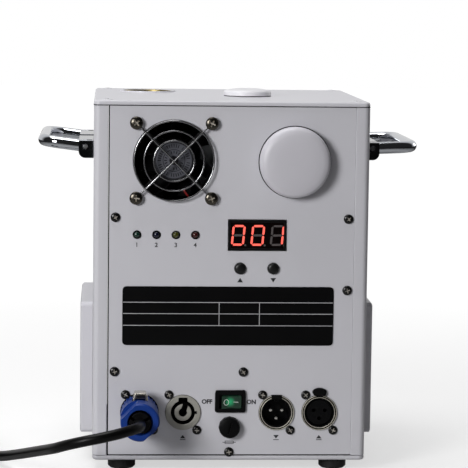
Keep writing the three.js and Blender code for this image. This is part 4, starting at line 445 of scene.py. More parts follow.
floor_lift = shader_node(floor_tree, "Math", {
    0: floor_any.outputs[0], 1: floor_fade.outputs["Result"]}, operation="MULTIPLY")
floor_tree.links.new(floor_lift.outputs[0], floor_shader.inputs["Emission Strength"])
floor_half = 6
floor = piece_from("floor", [(-floor_half, -floor_half, 0), (floor_half, -floor_half, 0),
                             (floor_half, floor_half, 0), (-floor_half, floor_half, 0)], [(0, 1, 2, 3)],
                   floor_paper)

surround = bpy.data.worlds.new("White surround")
surround.use_nodes = True
bpy.context.scene.world = surround
sky = surround.node_tree
sky_light = sky.nodes["Background"]
sky_light.inputs["Color"].default_value = (1, 1, 1, 1)
sky_seen = shader_node(sky, "LightPath", {})
sky_way = shader_node(sky, "TexCoord", {})
sky_split = shader_node(sky, "SeparateXYZ", {0: sky_way.outputs["Generated"]})
backdrop_share = shader_node(sky, "MapRange", {
    "Value": sky_split.outputs["Y"], "From Min": 0.1, "From Max": 0.6, "To Min": 0.02, "To Max": 0.72},
    interpolation_type="SMOOTHSTEP")
sky_mirrored = shader_node(sky, "Mix", {
    "Factor": sky_seen.outputs["Is Glossy Ray"], "A": 0.05, "B": backdrop_share.outputs["Result"]})
sky_open = shader_node(sky, "Math", {
    0: sky_seen.outputs["Is Camera Ray"], 1: sky_seen.outputs["Is Transmission Ray"]}, operation="MAXIMUM")
sky_level = shader_node(sky, "Math", {
    0: sky_mirrored.outputs["Result"], 1: sky_open.outputs[0]}, operation="MAXIMUM")
sky.links.new(sky_level.outputs[0], sky_light.inputs["Strength"])

for lamp_name, place, aim, size, power in (
        ("key_softbox", (-1.0, -1.34, 0.62), (0, 0, 0.14), 0.55, 18.6),
        ("overhead_softbox", (-0.30, 0.05, 1.75), (0, 0, 0.1), 1.0, 18.0),
        ("right_strip", (1.1, 0.75, 0.5), (0.05, 0, 0.14), 0.4, 2.6)):
    lamp_data = bpy.data.lights.new(lamp_name, "AREA")
    lamp_data.shape, lamp_data.size, lamp_data.energy = "SQUARE", size, power
    lamp = bpy.data.objects.new(lamp_name, lamp_data)
    lamp.location = place
    lamp.rotation_euler = (Vector(aim) - Vector(place)).to_track_quat("-Z", "Y").to_euler()
    bpy.context.scene.collection.objects.link(lamp)
bpy.context.scene.view_settings.view_transform = "Standard"


# ---- Housing ----
# Folded 1.5 mm steel in semi-gloss white powder coat: a base tray, two side covers that wrap
# round the corners, a front panel between them, a lid with a rolled edge, and a hood over the
# vents of each side.
def eased_copy(node, name, finish, easing=0.0004, steps=3, angle=38):
    """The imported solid's own shape with its folded or moulded edges eased."""
    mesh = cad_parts[node].data.copy()
    bm = bmesh.new()
    bm.from_mesh(mesh)
    bmesh.ops.remove_doubles(bm, verts=bm.verts, dist=1e-6)
    bmesh.ops.dissolve_limit(bm, angle_limit=radians(0.5), verts=bm.verts, edges=bm.edges)
    bm.to_mesh(mesh)
    bm.free()
    for face in mesh.polygons:
        face.use_smooth = True
    piece = new_piece(name, mesh, finish)
    easing_tool = piece.modifiers.new("Eased edges", "BEVEL")
    easing_tool.width, easing_tool.segments = easing, steps
    easing_tool.limit_method, easing_tool.angle_limit = "ANGLE", radians(angle)
    shade_evenly(piece)
    return piece


powder_coat = skin("White powder coat", paint(212, 211, 217), 0.38, clouding=0.025, grains=750,
                   spread=0.08, relief=0.12, depth=0.00006, coat=0.08)
for node, name, easing in (("base_tray", "base", 0.0006), ("front_panel", "front_sheet", 0.0003),
                           ("left_side_cover", "left_cover", 0.0004),
                           ("right_side_cover", "right_cover", 0.0004), ("top_lid", "lid", 0.0005),
                           ("left_air_hood", "left_hood", 0.0007), ("right_air_hood", "right_hood", 0.0007)):
    part = eased_copy(node, name, powder_coat, easing)
    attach(part, "machine")
    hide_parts(node)


# ---- Rear panel ----
# The flat sheet that carries everything: punched openings for the fan, the service port, the
# lamps, the display, the buttons, the connectors, the switch and the fuse, with burr-free edges.
panel_y, outward = -0.0865, (0, -1, 0)
fan_x, fan_z = -0.039, 0.212
service_x, service_z = 0.0418, 0.2118
lamp_x, lamp_z, lamp_pitch = -0.0634, 0.1622, 0.01305
display_x, display_z = 0.0174, 0.1622
button_offset, button_z = 0.01115, 0.1397
switch_x, switch_z = 0.0009, 0.0488
fuse_x, fuse_z = 0.0002, 0.0315
connector_z, connector_hole = 0.0414, 0.0121
power_in_x, power_out_x, data_in_x, data_out_x = -0.0608, -0.0314, 0.032, 0.0612


def oval_hole(x, z, half_width, half_height, steps):
    """The outline of a round or oval opening."""
    turns = [2 * pi * k / steps for k in range(steps)]
    return [(x + half_width * cos(turn), z + half_height * sin(turn)) for turn in turns]


def round_hole(x, z, radius, steps=64):
    """The outline of a round opening."""
    return oval_hole(x, z, radius, radius, steps)


def square_hole(x, z, width, height, corner=0.0003):
    """The outline of a square opening with eased corners."""
    loop = [(x - width / 2, z - height / 2), (x + width / 2, z - height / 2),
            (x + width / 2, z + height / 2), (x - width / 2, z + height / 2)]
    return softened(loop, corner)


def flat_mesh(curve):
    """The mesh of a drawing, which is thrown away."""
    drawing = bpy.data.objects.new(curve.name + "_drawing", curve)
    bpy.context.scene.collection.objects.link(drawing)
    bpy.context.view_layer.update()
    mesh = bpy.data.meshes.new_from_object(drawing.evaluated_get(bpy.context.evaluated_depsgraph_get()))
    bpy.data.objects.remove(drawing)
    return mesh


def standing_sheet(name, loops, front, thickness, edge, finish):
    """A flat sheet that faces the connectors' side, cut to its outline and holes."""
    curve = bpy.data.curves.new(name, "CURVE")
    curve.dimensions, curve.fill_mode = "2D", "BOTH"
    curve.extrude, curve.bevel_depth, curve.bevel_resolution = thickness / 2 - edge, edge, 2
    curve.offset = -edge
    for loop in loops:
        line = curve.splines.new("POLY")
        line.points.add(len(loop) - 1)
        for point, (x, z) in zip(line.points, loop):
            point.co = (x, z, 0, 1)
        line.use_cyclic_u = True
    mesh = flat_mesh(curve)
    mesh.transform(Matrix(((1, 0, 0, 0), (0, 0, -1, front + thickness / 2), (0, 1, 0, 0), (0, 0, 0, 1))))
    face_outward(mesh, 1e-7)
    piece = new_piece(name, mesh, finish, 35)
    shade_evenly(piece)
    return piece


panel_low, panel_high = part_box("rear_panel")
panel_loops = [
    square_hole(0.00045, (panel_low.z + panel_high.z) / 2 + 0.0002, panel_high.x - panel_low.x + 0.0001,
                panel_high.z - panel_low.z - 0.0006, 0.0006),
    round_hole(fan_x, fan_z, 0.0275, 96),
    round_hole(service_x, service_z, 0.0193, 72),
    *[round_hole(lamp_x + lamp_pitch * k, lamp_z, 0.0028, 32) for k in range(4)],
    square_hole(display_x, display_z, 0.0395, 0.0213),
    *[round_hole(display_x + side * button_offset, button_z, 0.00405, 40) for side in (-1, 1)],
    *[round_hole(x, connector_z, connector_hole) for x in (power_in_x, power_out_x, data_in_x)],
    square_hole(switch_x, switch_z, 0.0196, 0.0132),
    round_hole(fuse_x, fuse_z, 0.0065, 40),
]

# The data outlet's round opening and its release key's oval one run into each other, so they
# are one loop: the part of the oval outside the circle, then the circle's edge back round.
tab_low, tab_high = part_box("release_tab")
tab_middle = (tab_low + tab_high) / 2
tab_room = oval_hole(tab_middle.x, tab_middle.z, 0.0049, 0.0029, 80)
oval = [p for p in tab_room if hypot(p[0] - data_out_x, p[1] - connector_z) > connector_hole]
start = next(k for k, p in enumerate(oval)
             if p[0] > oval[k - 1][0] + 0.002 or p[1] < oval[k - 1][1] - 0.002)
oval = oval[start:] + oval[:start]
first, last = [atan2(p[1] - connector_z, p[0] - data_out_x) for p in (oval[0], oval[-1])]
sweep, sweep_steps = 2 * pi - (last - first), 60
turns = [last + sweep * k / sweep_steps for k in range(1, sweep_steps)]
panel_loops.append(oval + [(data_out_x + connector_hole * cos(turn), connector_z + connector_hole * sin(turn))
                           for turn in turns])
panel = standing_sheet("rear_sheet", panel_loops, panel_y, 0.0015, 0.00018, powder_coat)
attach(panel, "machine")
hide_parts("rear_panel")

# A black strip in the seam along the panel's left and lower edges is painted shade: the gap's shadow.
gap_shade_black = skin("Painted gap shade", paint(9, 9, 10), 0.75, clouding=0.15, relief=0.2, specular=0.15)
for edge_name, low, high in (
        ("left", (panel_low.x - 0.0004, panel_low.z), (panel_low.x + 0.0007, panel_high.z)),
        ("lower", (panel_low.x - 0.0004, panel_low.z - 0.0003),
         (panel_high.x - 0.008, panel_low.z + 0.0008))):
    strip = block_piece(f"panel_seal_{edge_name}", (low[0], panel_y + 0.00012, low[1]),
                        (high[0], panel_y + 0.0011, high[1]), gap_shade_black, 0.0001, 1)
    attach(strip, "machine")

# A thin black cord lies in the gap between the covers and the lid, all the way round: painted shade, the
# gap's shadow.
lid_low, lid_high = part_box("top_lid")
lid_corner, cord_radius = 0.004, 0.00024
cord_z = (panel_high.z + lid_low.z) / 2
left_x, right_x = lid_low.x + lid_corner, lid_high.x - lid_corner
near_y, far_y = lid_low.y + lid_corner, lid_high.y - lid_corner
cord_line = []
for x, y, begin in ((left_x, near_y, 180), (right_x, near_y, 270), (right_x, far_y, 0), (left_x, far_y, 90)):
    cord_line += [Vector((x + lid_corner * cos(radians(begin + 15 * k)),
                          y + lid_corner * sin(radians(begin + 15 * k)), cord_z)) for k in range(7)]
lid_shade_cord = drawn_tube("lid_gap_shade_cord", cord_line + cord_line[:1], cord_radius, gap_shade_black, 10)
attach(lid_shade_cord, "machine")


# ---- Screws ----
# Glossy black pan heads hold the panel, smaller ones the connectors, and nickel ones the fan
# guard. Their cross recesses are painted pale, as a painted glint. Low white ones hold the lid.
def carved(piece, *tools):
    """Cuts tools out of a piece and throws them away."""
    for tool in tools:
        cutter = piece.modifiers.new("Cut", "BOOLEAN")
        cutter.operation, cutter.object, cutter.solver = "DIFFERENCE", tool, "EXACT"
        cutter.material_mode = "TRANSFER"
    settle(piece)
    for tool in tools:
        bpy.data.objects.remove(tool)
    for face in piece.data.polygons:
        face.use_smooth = True
    piece.data.set_sharp_from_angle(angle=radians(32))


black_oxide = skin("Black oxide steel", paint(9, 9, 10), 0.28, clouding=0.2, relief=0.1, coat=0.2,
                   specular=0.3)
# Painted glint: a pale colour for the black screws' cross recesses, in place of the light they catch.
painted_glint_steel = skin("Painted recess glint steel", paint(206, 202, 196), 0.4, clouding=0.3, metallic=0.3, relief=0.2)
dark_nickel = skin("Dark nickel screw", paint(84, 80, 73), 0.26, clouding=0.3, grains=420, metallic=1.0,
                   relief=0.2)
# Painted shade: a dark colour for the white lid screws' cross recesses, where shade falls.
painted_recess_shade = skin("Painted recess shade", paint(30, 28, 27), 0.4, clouding=0.15, metallic=0.6, relief=0.1)
# Painted glint: a pale colour for the nickel screws' cross recesses, in place of the light they catch.
painted_glint_nickel = skin("Painted recess glint nickel", paint(216, 210, 200), 0.35, clouding=0.3, metallic=0.4,
                     relief=0.2)


def dome_outline(radius, height, rim):
    """A low dome: a short rim, then an arc up to the middle."""
    arc = [(radius * sin(pi / 2 * k / 7), rim + (height - rim) * cos(pi / 2 * k / 7)) for k in range(8)]
    return [(0, arc[0][1])] + arc[1:] + [(radius, 0), (0, 0)]


def cross_screw(name, place, axis, radius, height, finish, recess, lean=20):
    """A pan head with a cross cut into it, lean degrees round from upright."""
    head = turned_piece(name, dome_outline(radius, height, height * 0.3), place, axis, finish, 36)
    axis = Vector(axis)
    side = Vector((1, 0, 0))
    tools = []
    for k in range(2):
        arm = block_piece(f"{name}_recess_{k}", (-radius * 0.52, -radius * 0.11, height * 0.35),
                          (radius * 0.52, radius * 0.11, height * 1.5), recess, 0.0001, 1)
        turn = Matrix.Rotation(radians(lean + 90 * k), 4, axis) @ Matrix(
            [[side[i], axis.cross(side)[i], axis[i], 0] for i in range(3)] + [[0, 0, 0, 1]])
        arm.matrix_world = Matrix.Translation(place) @ turn
        tools.append(arm)
    carved(head, *tools)
    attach(head, "machine")


for number, (x, z, lean) in enumerate(((-77.8, 173.8, 25), (-77.8, 69.3, 8), (78.8, 173.5, 40),
                                       (78.7, 125.1, 15), (9.2, 69.2, 33), (0, 14.3, 12)), 1):
    cross_screw(f"panel_screw_{number}", (x / 1000, panel_y - 0.0001, z / 1000), outward, 0.00325, 0.0018,
                black_oxide, painted_glint_steel, lean)
for number, x in enumerate((power_in_x, power_out_x, data_in_x, data_out_x), 1):
    for side in (-1, 1):
        cross_screw(f"connector_screw_{number}_{(side + 3) // 2}",
                    (x + side * 0.0095, panel_y - 0.0001, connector_z - side * 0.0121), outward, 0.0031,
                    0.0016, black_oxide, painted_glint_steel, 10 + 37 * number * side)
for number, (u, v) in enumerate(((-1, 1), (1, 1), (-1, -1), (1, -1)), 1):
    cross_screw(f"fan_screw_{number}", (fan_x + u * 0.0252, panel_y - 0.0019, fan_z + v * 0.0251), outward,
                0.0044, 0.0024, dark_nickel, painted_glint_nickel, 18 + 23 * number)
white_screw = skin("White painted screw", paint(214, 214, 219), 0.4, clouding=0.05, relief=0.1)
# The lid screws' cross recesses are painted dark as shade.
for number, (x, y) in enumerate(((-83.5, -77.5), (83.5, -77.5), (-83.5, 88.5), (83.5, 88.5)), 1):
    cross_screw(f"lid_screw_{number}", (x / 1000, y / 1000, 0.2519), (0, 0, 1), 0.0036, 0.0007, white_screw,
                painted_recess_shade)


# ---- Feet ----
# Four round black rubber feet, one under each corner of the base, a little narrower at the
# sole than above it.
foot_rubber = skin("Foot rubber", paint(28, 28, 29), 0.62, clouding=0.2, grains=1500, relief=0.4)
foot_outline = turned_outline([(0, 0.0), (0.0079, 0.0), (0.0094, 0.0014), (0.0094, 0.0083), (0, 0.0083)],
                              0.0006)
for name, x, y in (("rear_left", -72.5, -67), ("rear_right", 72.5, -67), ("front_left", -72.5, 78),
                   ("front_right", 72.5, 78)):
    foot = turned_piece(f"{name}_foot_rubber", foot_outline, (x / 1000, y / 1000, 0), (0, 0, 1), foot_rubber)
    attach(foot, "machine")
    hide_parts(f"{name}_foot")


# ---- Folding handles ----
# A chromed steel bar bent to a U on each side, hinged on pins between two cast and polished
# blocks. It swings up to carry the machine and hangs flat against the cover otherwise.
chrome_plate = skin("Chrome plate", paint(206, 209, 215), 0.07, clouding=0.04, grains=500, spread=0.05,
                    relief=0.03, metallic=1.0)
block_chrome = skin("Cast block chrome", paint(142, 144, 150), 0.1, clouding=0.15, grains=500, spread=0.08,
                    relief=0.08, metallic=1.0)
pin_steel = skin("Ground pin steel", paint(170, 170, 172), 0.3, metallic=1.0, relief=0.06)


def handle_line(side, tilt):
    """The bar's centre line: out from the pin, round two bends and back to the other pin."""
    half, reach, bend = 52, 28.6, 12
    turns = [pi / 2 * k / 10 for k in range(11)]
    flat = [(0, -half), (reach - bend, -half)]
    flat += [(reach - bend + bend * sin(turn), -half + bend - bend * cos(turn)) for turn in turns[1:]]
    flat += [(reach, y) for y in (-24, -8, 8, 24)]
    flat += [(reach - bend + bend * cos(turn), half - bend + bend * sin(turn)) for turn in turns]
    flat += [(0, half)]
    pivot = (side * 98.4, 5.5, 218.6)
    rise, run = sin(radians(tilt)), side * cos(radians(tilt))
    return [Vector((pivot[0] + u * run, pivot[1] + y, pivot[2] + u * rise)) / 1000 for u, y in flat]


knuckle_outline = softened([(0.0018, -0.0041), (0.0041, -0.0041), (0.0041, 0.0041), (0.0018, 0.0041)],
                           0.0004)
for name, side, tilt in (("left", -1, 7), ("right", 1, 2.5)):
    bar = drawn_tube(f"{name}_grip_bar", handle_line(side, tilt), 0.0041, chrome_plate, 36)
    knuckles = [turned_piece(f"{name}_grip_knuckle_{k}", knuckle_outline,
                             (side * 0.0984, 0.0055 + y, 0.2186), (0, 1, 0), chrome_plate, 40)
                for k, y in ((1, -0.052), (2, 0.052))]
    for part in (bar, *knuckles):
        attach(part, f"{name}_handle")
    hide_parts(f"{name}_handle_bar")
    for end in ("rear", "front"):
        block = eased_copy(f"{name}_handle_block_{end}", f"{name}_hinge_block_{end}", block_chrome, 0.0006)
        pin = eased_copy(f"{name}_handle_pin_{end}", f"{name}_hinge_pin_{end}", pin_steel, 0.0002)
        for part, node, finish_slot in ((block, "block", "chrome"), (pin, "pin", "steel")):
            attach(part, "machine")
            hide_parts(f"{name}_handle_{node}_{end}")


# ---- Cooling fan ----
# A 60 mm black plastic fan that turns behind a punched opening. Its fixed hub carries a silver
# label with plain rings and tick marks, and a chromed guard of three rings and two crossed
# wires is screwed over it.
fan_plastic = skin("Fan plastic", paint(13, 13, 14), 0.4, clouding=0.15, grains=1200, relief=0.2,
                   specular=0.35)
guard_chrome = skin("Guard wire chrome", paint(158, 158, 160), 0.22, metallic=1.0, relief=0.05)
label_foil = skin("Silver label foil", paint(98, 99, 107), 0.38, clouding=0.5, grains=320, spread=0.3,
                  metallic=0.4, relief=0.3)
guard_y = panel_y - 0.00315
for number, radius in enumerate((0.0267, 0.0200, 0.0136), 1):
    circle = [Vector((x, guard_y, z)) for x, z in round_hole(fan_x, fan_z, radius, 72)]
    circle.append(circle[0])
    ring = drawn_tube(f"guard_ring_{number}", circle, 0.0006, guard_chrome, 12)
    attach(ring, "machine")
eye_outline = softened([(0.0021, -0.00075), (0.0037, -0.00075), (0.0037, 0.00075), (0.0021, 0.00075)],
                       0.0006)
for number, angle in enumerate((45, 135), 1):
    out = Vector((cos(radians(angle)), 0, sin(radians(angle))))
    middle = Vector((fan_x, guard_y, fan_z))
    back = Vector((0, 0.0021, 0))
    half_wire = [(0.0353, 1.0), (0.0333, 0.95), (0.0315, 0.55), (0.0300, 0), (0.015, 0)]
    line = [middle - out * reach + back * share for reach, share in half_wire] + [middle]
    line += [middle + out * reach + back * share for reach, share in reversed(half_wire)]
    wire = drawn_tube(f"guard_cross_wire_{number}", line, 0.00065, guard_chrome, 12)
    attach(wire, "machine")
    if number == 1:
        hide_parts("fan_guard")
    for side in (-1, 1):
        eye = turned_piece(f"guard_eye_{number}_{(side + 3) // 2}", eye_outline,
                           middle + out * 0.03535 * side + back, outward, guard_chrome, 32)
        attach(eye, "machine")
fan_case = eased_copy("cooling_fan_frame", "fan_case", fan_plastic, 0.0003, 2)
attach(fan_case, "machine")
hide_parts("cooling_fan_frame")
label_y, print_y = -0.08485, -0.08487
label = turned_piece("fan_hub_label", [(0, 0.0), (0.0126, 0.0), (0.0127, -0.00012), (0, -0.00012)],
                     (fan_x, label_y, fan_z), outward, label_foil, 64)
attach(label, "machine")
label_ink = skin("Dark label ink", paint(22, 22, 26), 0.5, clouding=0.1, specular=0.2)
for number, (radius, width) in enumerate(((0.0120, 0.0005), (0.0071, 0.0004), (0.0, 0.0031)), 1):
    outer = radius + width
    print_ring = turned_piece(f"fan_label_ring_{number}",
                              [(radius, 0.00008), (outer, 0.00008), (outer, 0.0), (radius, 0.0)],
                              (fan_x, print_y, fan_z), outward, label_ink, 64)
    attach(print_ring, "machine")

# The tick marks stand in two rings, with every seventh one missing.
tick_corners, tick_faces = [], []
for radius, tall, wide, marks in ((0.0098, 0.0024, 0.00055, 40), (0.0056, 0.0018, 0.00065, 20)):
    for k in range(marks):
        if k % 7 == 0:
            continue
        angle = 2 * pi * k / marks
        out, over = Vector((cos(angle), 0, sin(angle))), Vector((-sin(angle), 0, cos(angle)))
        start = len(tick_corners)
        for depth in (0.0, -0.00008):
            middle = Vector((fan_x, print_y + depth, fan_z))
            for u, v in ((-1, -1), (1, -1), (1, 1), (-1, 1)):
                tick_corners.append(middle + out * (radius + v * tall / 2) + over * (u * wide / 2))
        tick_faces += [tuple(start + i for i in face) for face in
                       ((0, 1, 2, 3), (7, 6, 5, 4), (1, 0, 4, 5), (2, 1, 5, 6), (3, 2, 6, 7), (0, 3, 7, 4))]
ticks = piece_from("fan_label_ticks", tick_corners, tick_faces, label_ink)
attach(ticks, "machine")

# The rotor: a hub, and round it vanes that are each a grid of points from root to tip and
# across the chord, once for either face.
rotor_middle = (fan_x, -0.0708, fan_z)
hub_outline = turned_outline([(0, 0.0095), (0.0141, 0.0095), (0.0141, -0.0093), (0, -0.0093)], 0.001)
rotor_hub = turned_piece("fan_rotor_hub", hub_outline, rotor_middle, outward, fan_plastic)
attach(rotor_hub, "fan_rotor")
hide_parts("cooling_fan_rotor")
vane_count, span_steps, chord_steps = 7, 8, 6
vane_root, vane_span, vane_half = 0.0135, 0.0125, 0.0006
row = 2 * (chord_steps + 1)
for number in range(vane_count):
    turn = 2 * pi * number / vane_count
    corners, faces = [], []
    for i in range(span_steps + 1):
        share = i / span_steps
        radius, pitch = vane_root + vane_span * share, radians(44 - 14 * share)
        for j in range(chord_steps + 1):
            chord = j / chord_steps - 0.5
            sweep = turn + chord * 0.0165 * sin(pitch) / radius + 0.16 * share * share
            camber = 0.0012 * (1 - 4 * chord * chord)
            depth = chord * 0.0168 * cos(pitch) + camber
            for face_side in (-1, 1):
                corners.append((fan_x + radius * sin(sweep), rotor_middle[1] + depth + face_side * vane_half,
                                fan_z + radius * cos(sweep)))
    for i in range(span_steps):
        for j in range(chord_steps):
            for layer in (0, 1):
                a = i * row + j * 2 + layer
                quad = (a, a + 2, a + row + 2, a + row)
                faces.append(quad if layer else quad[::-1])
    for i in range(span_steps):
        for j in (0, chord_steps):
            a = i * row + j * 2
            faces.append((a, a + 1, a + row + 1, a + row) if j else (a + row, a + row + 1, a + 1, a))
    for j in range(chord_steps):
        for i in (0, span_steps):
            a = i * row + j * 2
            faces.append((a + 2, a + 3, a + 1, a) if i else (a, a + 1, a + 3, a + 2))
    vane = piece_from(f"fan_vane_{number + 1}", corners, faces, fan_plastic)
    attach(vane, "fan_rotor")
red_wire = skin("Red wire sleeve", paint(150, 30, 30), 0.4, clouding=0.1)
wire_points = ((0.0066, -0.0838, -0.0195), (0.0077, -0.0843, -0.0212), (0.0088, -0.0842, -0.0226),
               (0.0098, -0.0830, -0.0238))
wire_line = smooth_route([Vector((fan_x + x, y, fan_z + z)) for x, y, z in wire_points], 6)
lead = drawn_tube("fan_red_lead", wire_line, 0.0007, red_wire, 12)
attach(lead, "machine")


# ---- Service port and cap ----
# A moulded white collar through the panel, closed by a large push-in cap. The cap's face is
# very slightly domed, its edge is well rounded, and its plug seals inside the collar.
cap_white = skin("White moulded cap", paint(208, 206, 213), 0.42, clouding=0.03, grains=1100, relief=0.12)
service_place = (service_x, panel_y, service_z)
cap_outline = [(0, 0.0115), (0.0120, 0.01142), (0.0182, 0.01105), (0.0212, 0.01035), (0.0229, 0.0092),
               (0.0236, 0.0077), (0.0238, 0.0062), (0.0238, 0.0022), (0.0234, 0.0018), (0.0167, 0.0018),
               (0.0167, -0.0056), (0.0161, -0.0062), (0, -0.0062)]
cap = turned_piece("service_cap_moulding", cap_outline, service_place, outward, cap_white, 96, 40)
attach(cap, "service_cover")
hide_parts("service_cap")
collar_outline = softened([(0.017, 0.0015), (0.0242, 0.0015), (0.0242, 0.0003), (0.019, 0.0003),
                           (0.019, -0.018), (0.017, -0.018)], 0.0003)
collar = turned_piece("service_collar", collar_outline, service_place, outward, cap_white, 96)
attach(collar, "machine")
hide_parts("service_port")
# A thin black ring round the cap's foot is painted shade: the shadow in the gap between cap and panel.
gap_shade_outline = softened([(0.0225, 0.0013), (0.0244, 0.0013), (0.0244, 0.0024), (0.0225, 0.0024)], 0.0002)
gap_shade_ring = turned_piece("service_gap_shade_ring", gap_shade_outline, service_place, outward, gap_shade_black, 96)
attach(gap_shade_ring, "machine")


# ---- Status lamps ----
# Four small lamps, all unlit: tinted clear domes in black retaining rings, numbered from 1 to 4
# in dark print below. They stand on the control board behind the panel.
ring_black = skin("Black retaining ring", paint(8, 8, 9), 0.4, clouding=0.1, specular=0.12)
print_dark = skin("Dark panel print", paint(46, 46, 50), 0.55, clouding=0.08, relief=0.05, specular=0.3)


def lettering(name, words, x, z, height, weight):
    """Flat printed characters on the panel, centred on x and z, just proud of the sheet."""
    curve = bpy.data.curves.new(name, "FONT")
    size_per_height = 1.38
    curve.body, curve.size = words, height * size_per_height
    curve.align_x, curve.align_y = "CENTER", "CENTER"
    curve.extrude, curve.offset = 0.00003, weight
    mesh = flat_mesh(curve)
    mesh.transform(Matrix(((1, 0, 0, x), (0, 0, -1, panel_y - 0.00005), (0, 1, 0, z), (0, 0, 0, 1))))
    piece = new_piece(name, mesh, print_dark)
    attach(piece, "machine")


lens_outline = [(0.0021 * sin(pi / 2 * k / 8), 0.0002 + 0.0016 * cos(pi / 2 * k / 8)) for k in range(9)]
lens_outline += [(0.0021, -0.0018), (0.0031, -0.0018), (0.0031, -0.0092), (0, -0.0092)]
retainer_outline = softened([(0.0021, -0.0012), (0.0026, -0.0012), (0.0026, 0.0001), (0.0029, 0.0001),
                             (0.0029, 0.0006), (0.0021, 0.0006)], 0.0002)
for number, tint in enumerate(((9, 46, 36), (8, 9, 38), (66, 66, 14), (58, 10, 12)), 1):
    x = lamp_x + lamp_pitch * (number - 1)
    lens_finish = skin(f"Lamp lens {number}", paint(*tint), 0.08, clouding=0.2, grains=300, relief=0.05,
                       coat=0.6)
    lens = turned_piece(f"lamp_lens_{number}", lens_outline, (x, panel_y, lamp_z), outward, lens_finish, 36)
    lens_ring = turned_piece(f"lamp_ring_{number}", retainer_outline, (x, panel_y, lamp_z), outward,
                             ring_black, 40)
    for part in (lens, lens_ring):
        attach(part, "machine")
    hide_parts(f"status_lamp_{number}")
    lettering(f"lamp_number_{number}", str(number), x, 0.1552, 0.0030, 0.00006)


# ---- Display ----
# A black plastic module with three seven-segment digits behind a dark window. The lit
# segments glow red, and the unlit ones show as pale grey bars.
display_black = skin("Display housing", paint(12, 12, 13), 0.35, clouding=0.1, specular=0.25)
display_window = skin("Display window", paint(14, 8, 8), 0.16, clouding=0.1, specular=0.2)
segment_lit = skin("Lit segment", paint(250, 110, 96), 0.4, clouding=0.05, glow=paint(250, 92, 78),
                   glow_strength=0.85)
segment_unlit = skin("Unlit segment", paint(88, 82, 82), 0.45, clouding=0.05)
case_low, case_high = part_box("display_module")
display_case = eased_copy("display_module", "display_case", display_black, 0.00025, 2)
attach(display_case, "machine")
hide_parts("display_module")
pane_y, pane_inset = case_low.y + 0.0008, 0.0017
pane_face = pane_y - 0.00035
pane = block_piece("display_pane", (case_low.x + pane_inset, pane_face, case_low.z + pane_inset),
                   (case_high.x - pane_inset, pane_y - 0.00005, case_high.z - pane_inset), display_window,
                   0.0001, 1)
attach(pane, "machine")


def segment_bar(name, middle, length, width, upright, finish):
    """One bar of a digit: a long hexagon, leaning a little to the right as the digits do."""
    half, slim, thickness, lean_share = length / 2, width / 2, 0.00012, 0.09
    flat = [(-half, 0), (-half + slim, -slim), (half - slim, -slim), (half, 0), (half - slim, slim),
            (-half + slim, slim)]
    if upright:
        flat = [(-v, u) for u, v in flat]
    corners = []
    for depth in (0.0, thickness):
        for u, v in flat:
            x, z = middle[0] + u, middle[1] + v
            corners.append((display_x + x + z * lean_share, pane_face - depth, display_z + z))
    faces = [tuple(range(6)), tuple(range(11, 5, -1))]
    faces += [(k + 6, (k + 1) % 6 + 6, (k + 1) % 6, k) for k in range(6)]
    bar = piece_from(name, corners, faces, finish)
    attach(bar, "machine")


segment_spots = {"a": (0, 1, False), "b": (1, 0.5, True), "c": (1, -0.5, True), "d": (0, -1, False),
                 "e": (-1, -0.5, True), "f": (-1, 0.5, True), "g": (0, 0, False)}
for digit, (offset, lit) in enumerate(((-0.0128, "abcdef"), (0.0003, "abcdef"), (0.0134, "bc")), 1):
    for key, (u, v, upright) in segment_spots.items():
        segment_bar(f"digit_{digit}_{key}", (offset + u * 0.0037, v * 0.0063), 0.0059 if upright else 0.0066,
                    0.0014, upright, segment_lit if key in lit else segment_unlit)
    point_x = display_x + offset + 0.0047
    point = turned_piece(f"digit_{digit}_point", [(0, 0.0), (0.0007, 0.0), (0.0007, 0.00012), (0, 0.00012)],
                         (point_x, pane_face, display_z - 0.0067), outward, segment_unlit, 20)
    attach(point, "machine")


# ---- Buttons ----
# Two round black push-buttons that step the number up and down, each marked with a small
# printed triangle below. They spring back from the switches on the board.
def printed_shape(name, outline, finish, y=panel_y):
    """A flat printed shape with straight sides, standing a twentieth of a millimetre proud."""
    count = len(outline)
    corners = [(u, y - depth, v) for depth in (-0.00002, 0.00005) for u, v in outline]
    faces = [tuple(range(count)), tuple(range(2 * count - 1, count - 1, -1))]
    faces += [(k, k + count, (k + 1) % count + count, (k + 1) % count) for k in range(count)]
    shape = piece_from(name, corners, faces, finish)
    face_outward(shape.data)
    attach(shape, "machine")


button_black = skin("Button plastic", paint(16, 16, 17), 0.34, clouding=0.12, grains=1300, relief=0.2,
                    specular=0.4)
knob_outline = [(0, 0.0024), (0.0018, 0.00235), (0.0029, 0.0021), (0.0035, 0.0017), (0.00375, 0.0012),
                (0.00375, -0.0018), (0.005, -0.0018), (0.005, -0.0028), (0.00375, -0.0028),
                (0.00375, -0.0077), (0, -0.0077)]
arrow_half, step_arrow_z = 0.0019, 0.1318
for name, side, body in (("up", -1, "up_key"), ("down", 1, "down_key")):
    x = display_x + side * button_offset
    knob = turned_piece(f"{name}_key_cap", knob_outline, (x, panel_y, button_z), outward, button_black,
                        48, 40)
    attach(knob, body)
    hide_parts(f"{name}_button")
    tall = 0.0015 * -side
    base, tip = step_arrow_z - tall, step_arrow_z + tall
    printed_shape(f"{name}_arrow", [(x - arrow_half, base), (x + arrow_half, base), (x, tip)], print_dark)


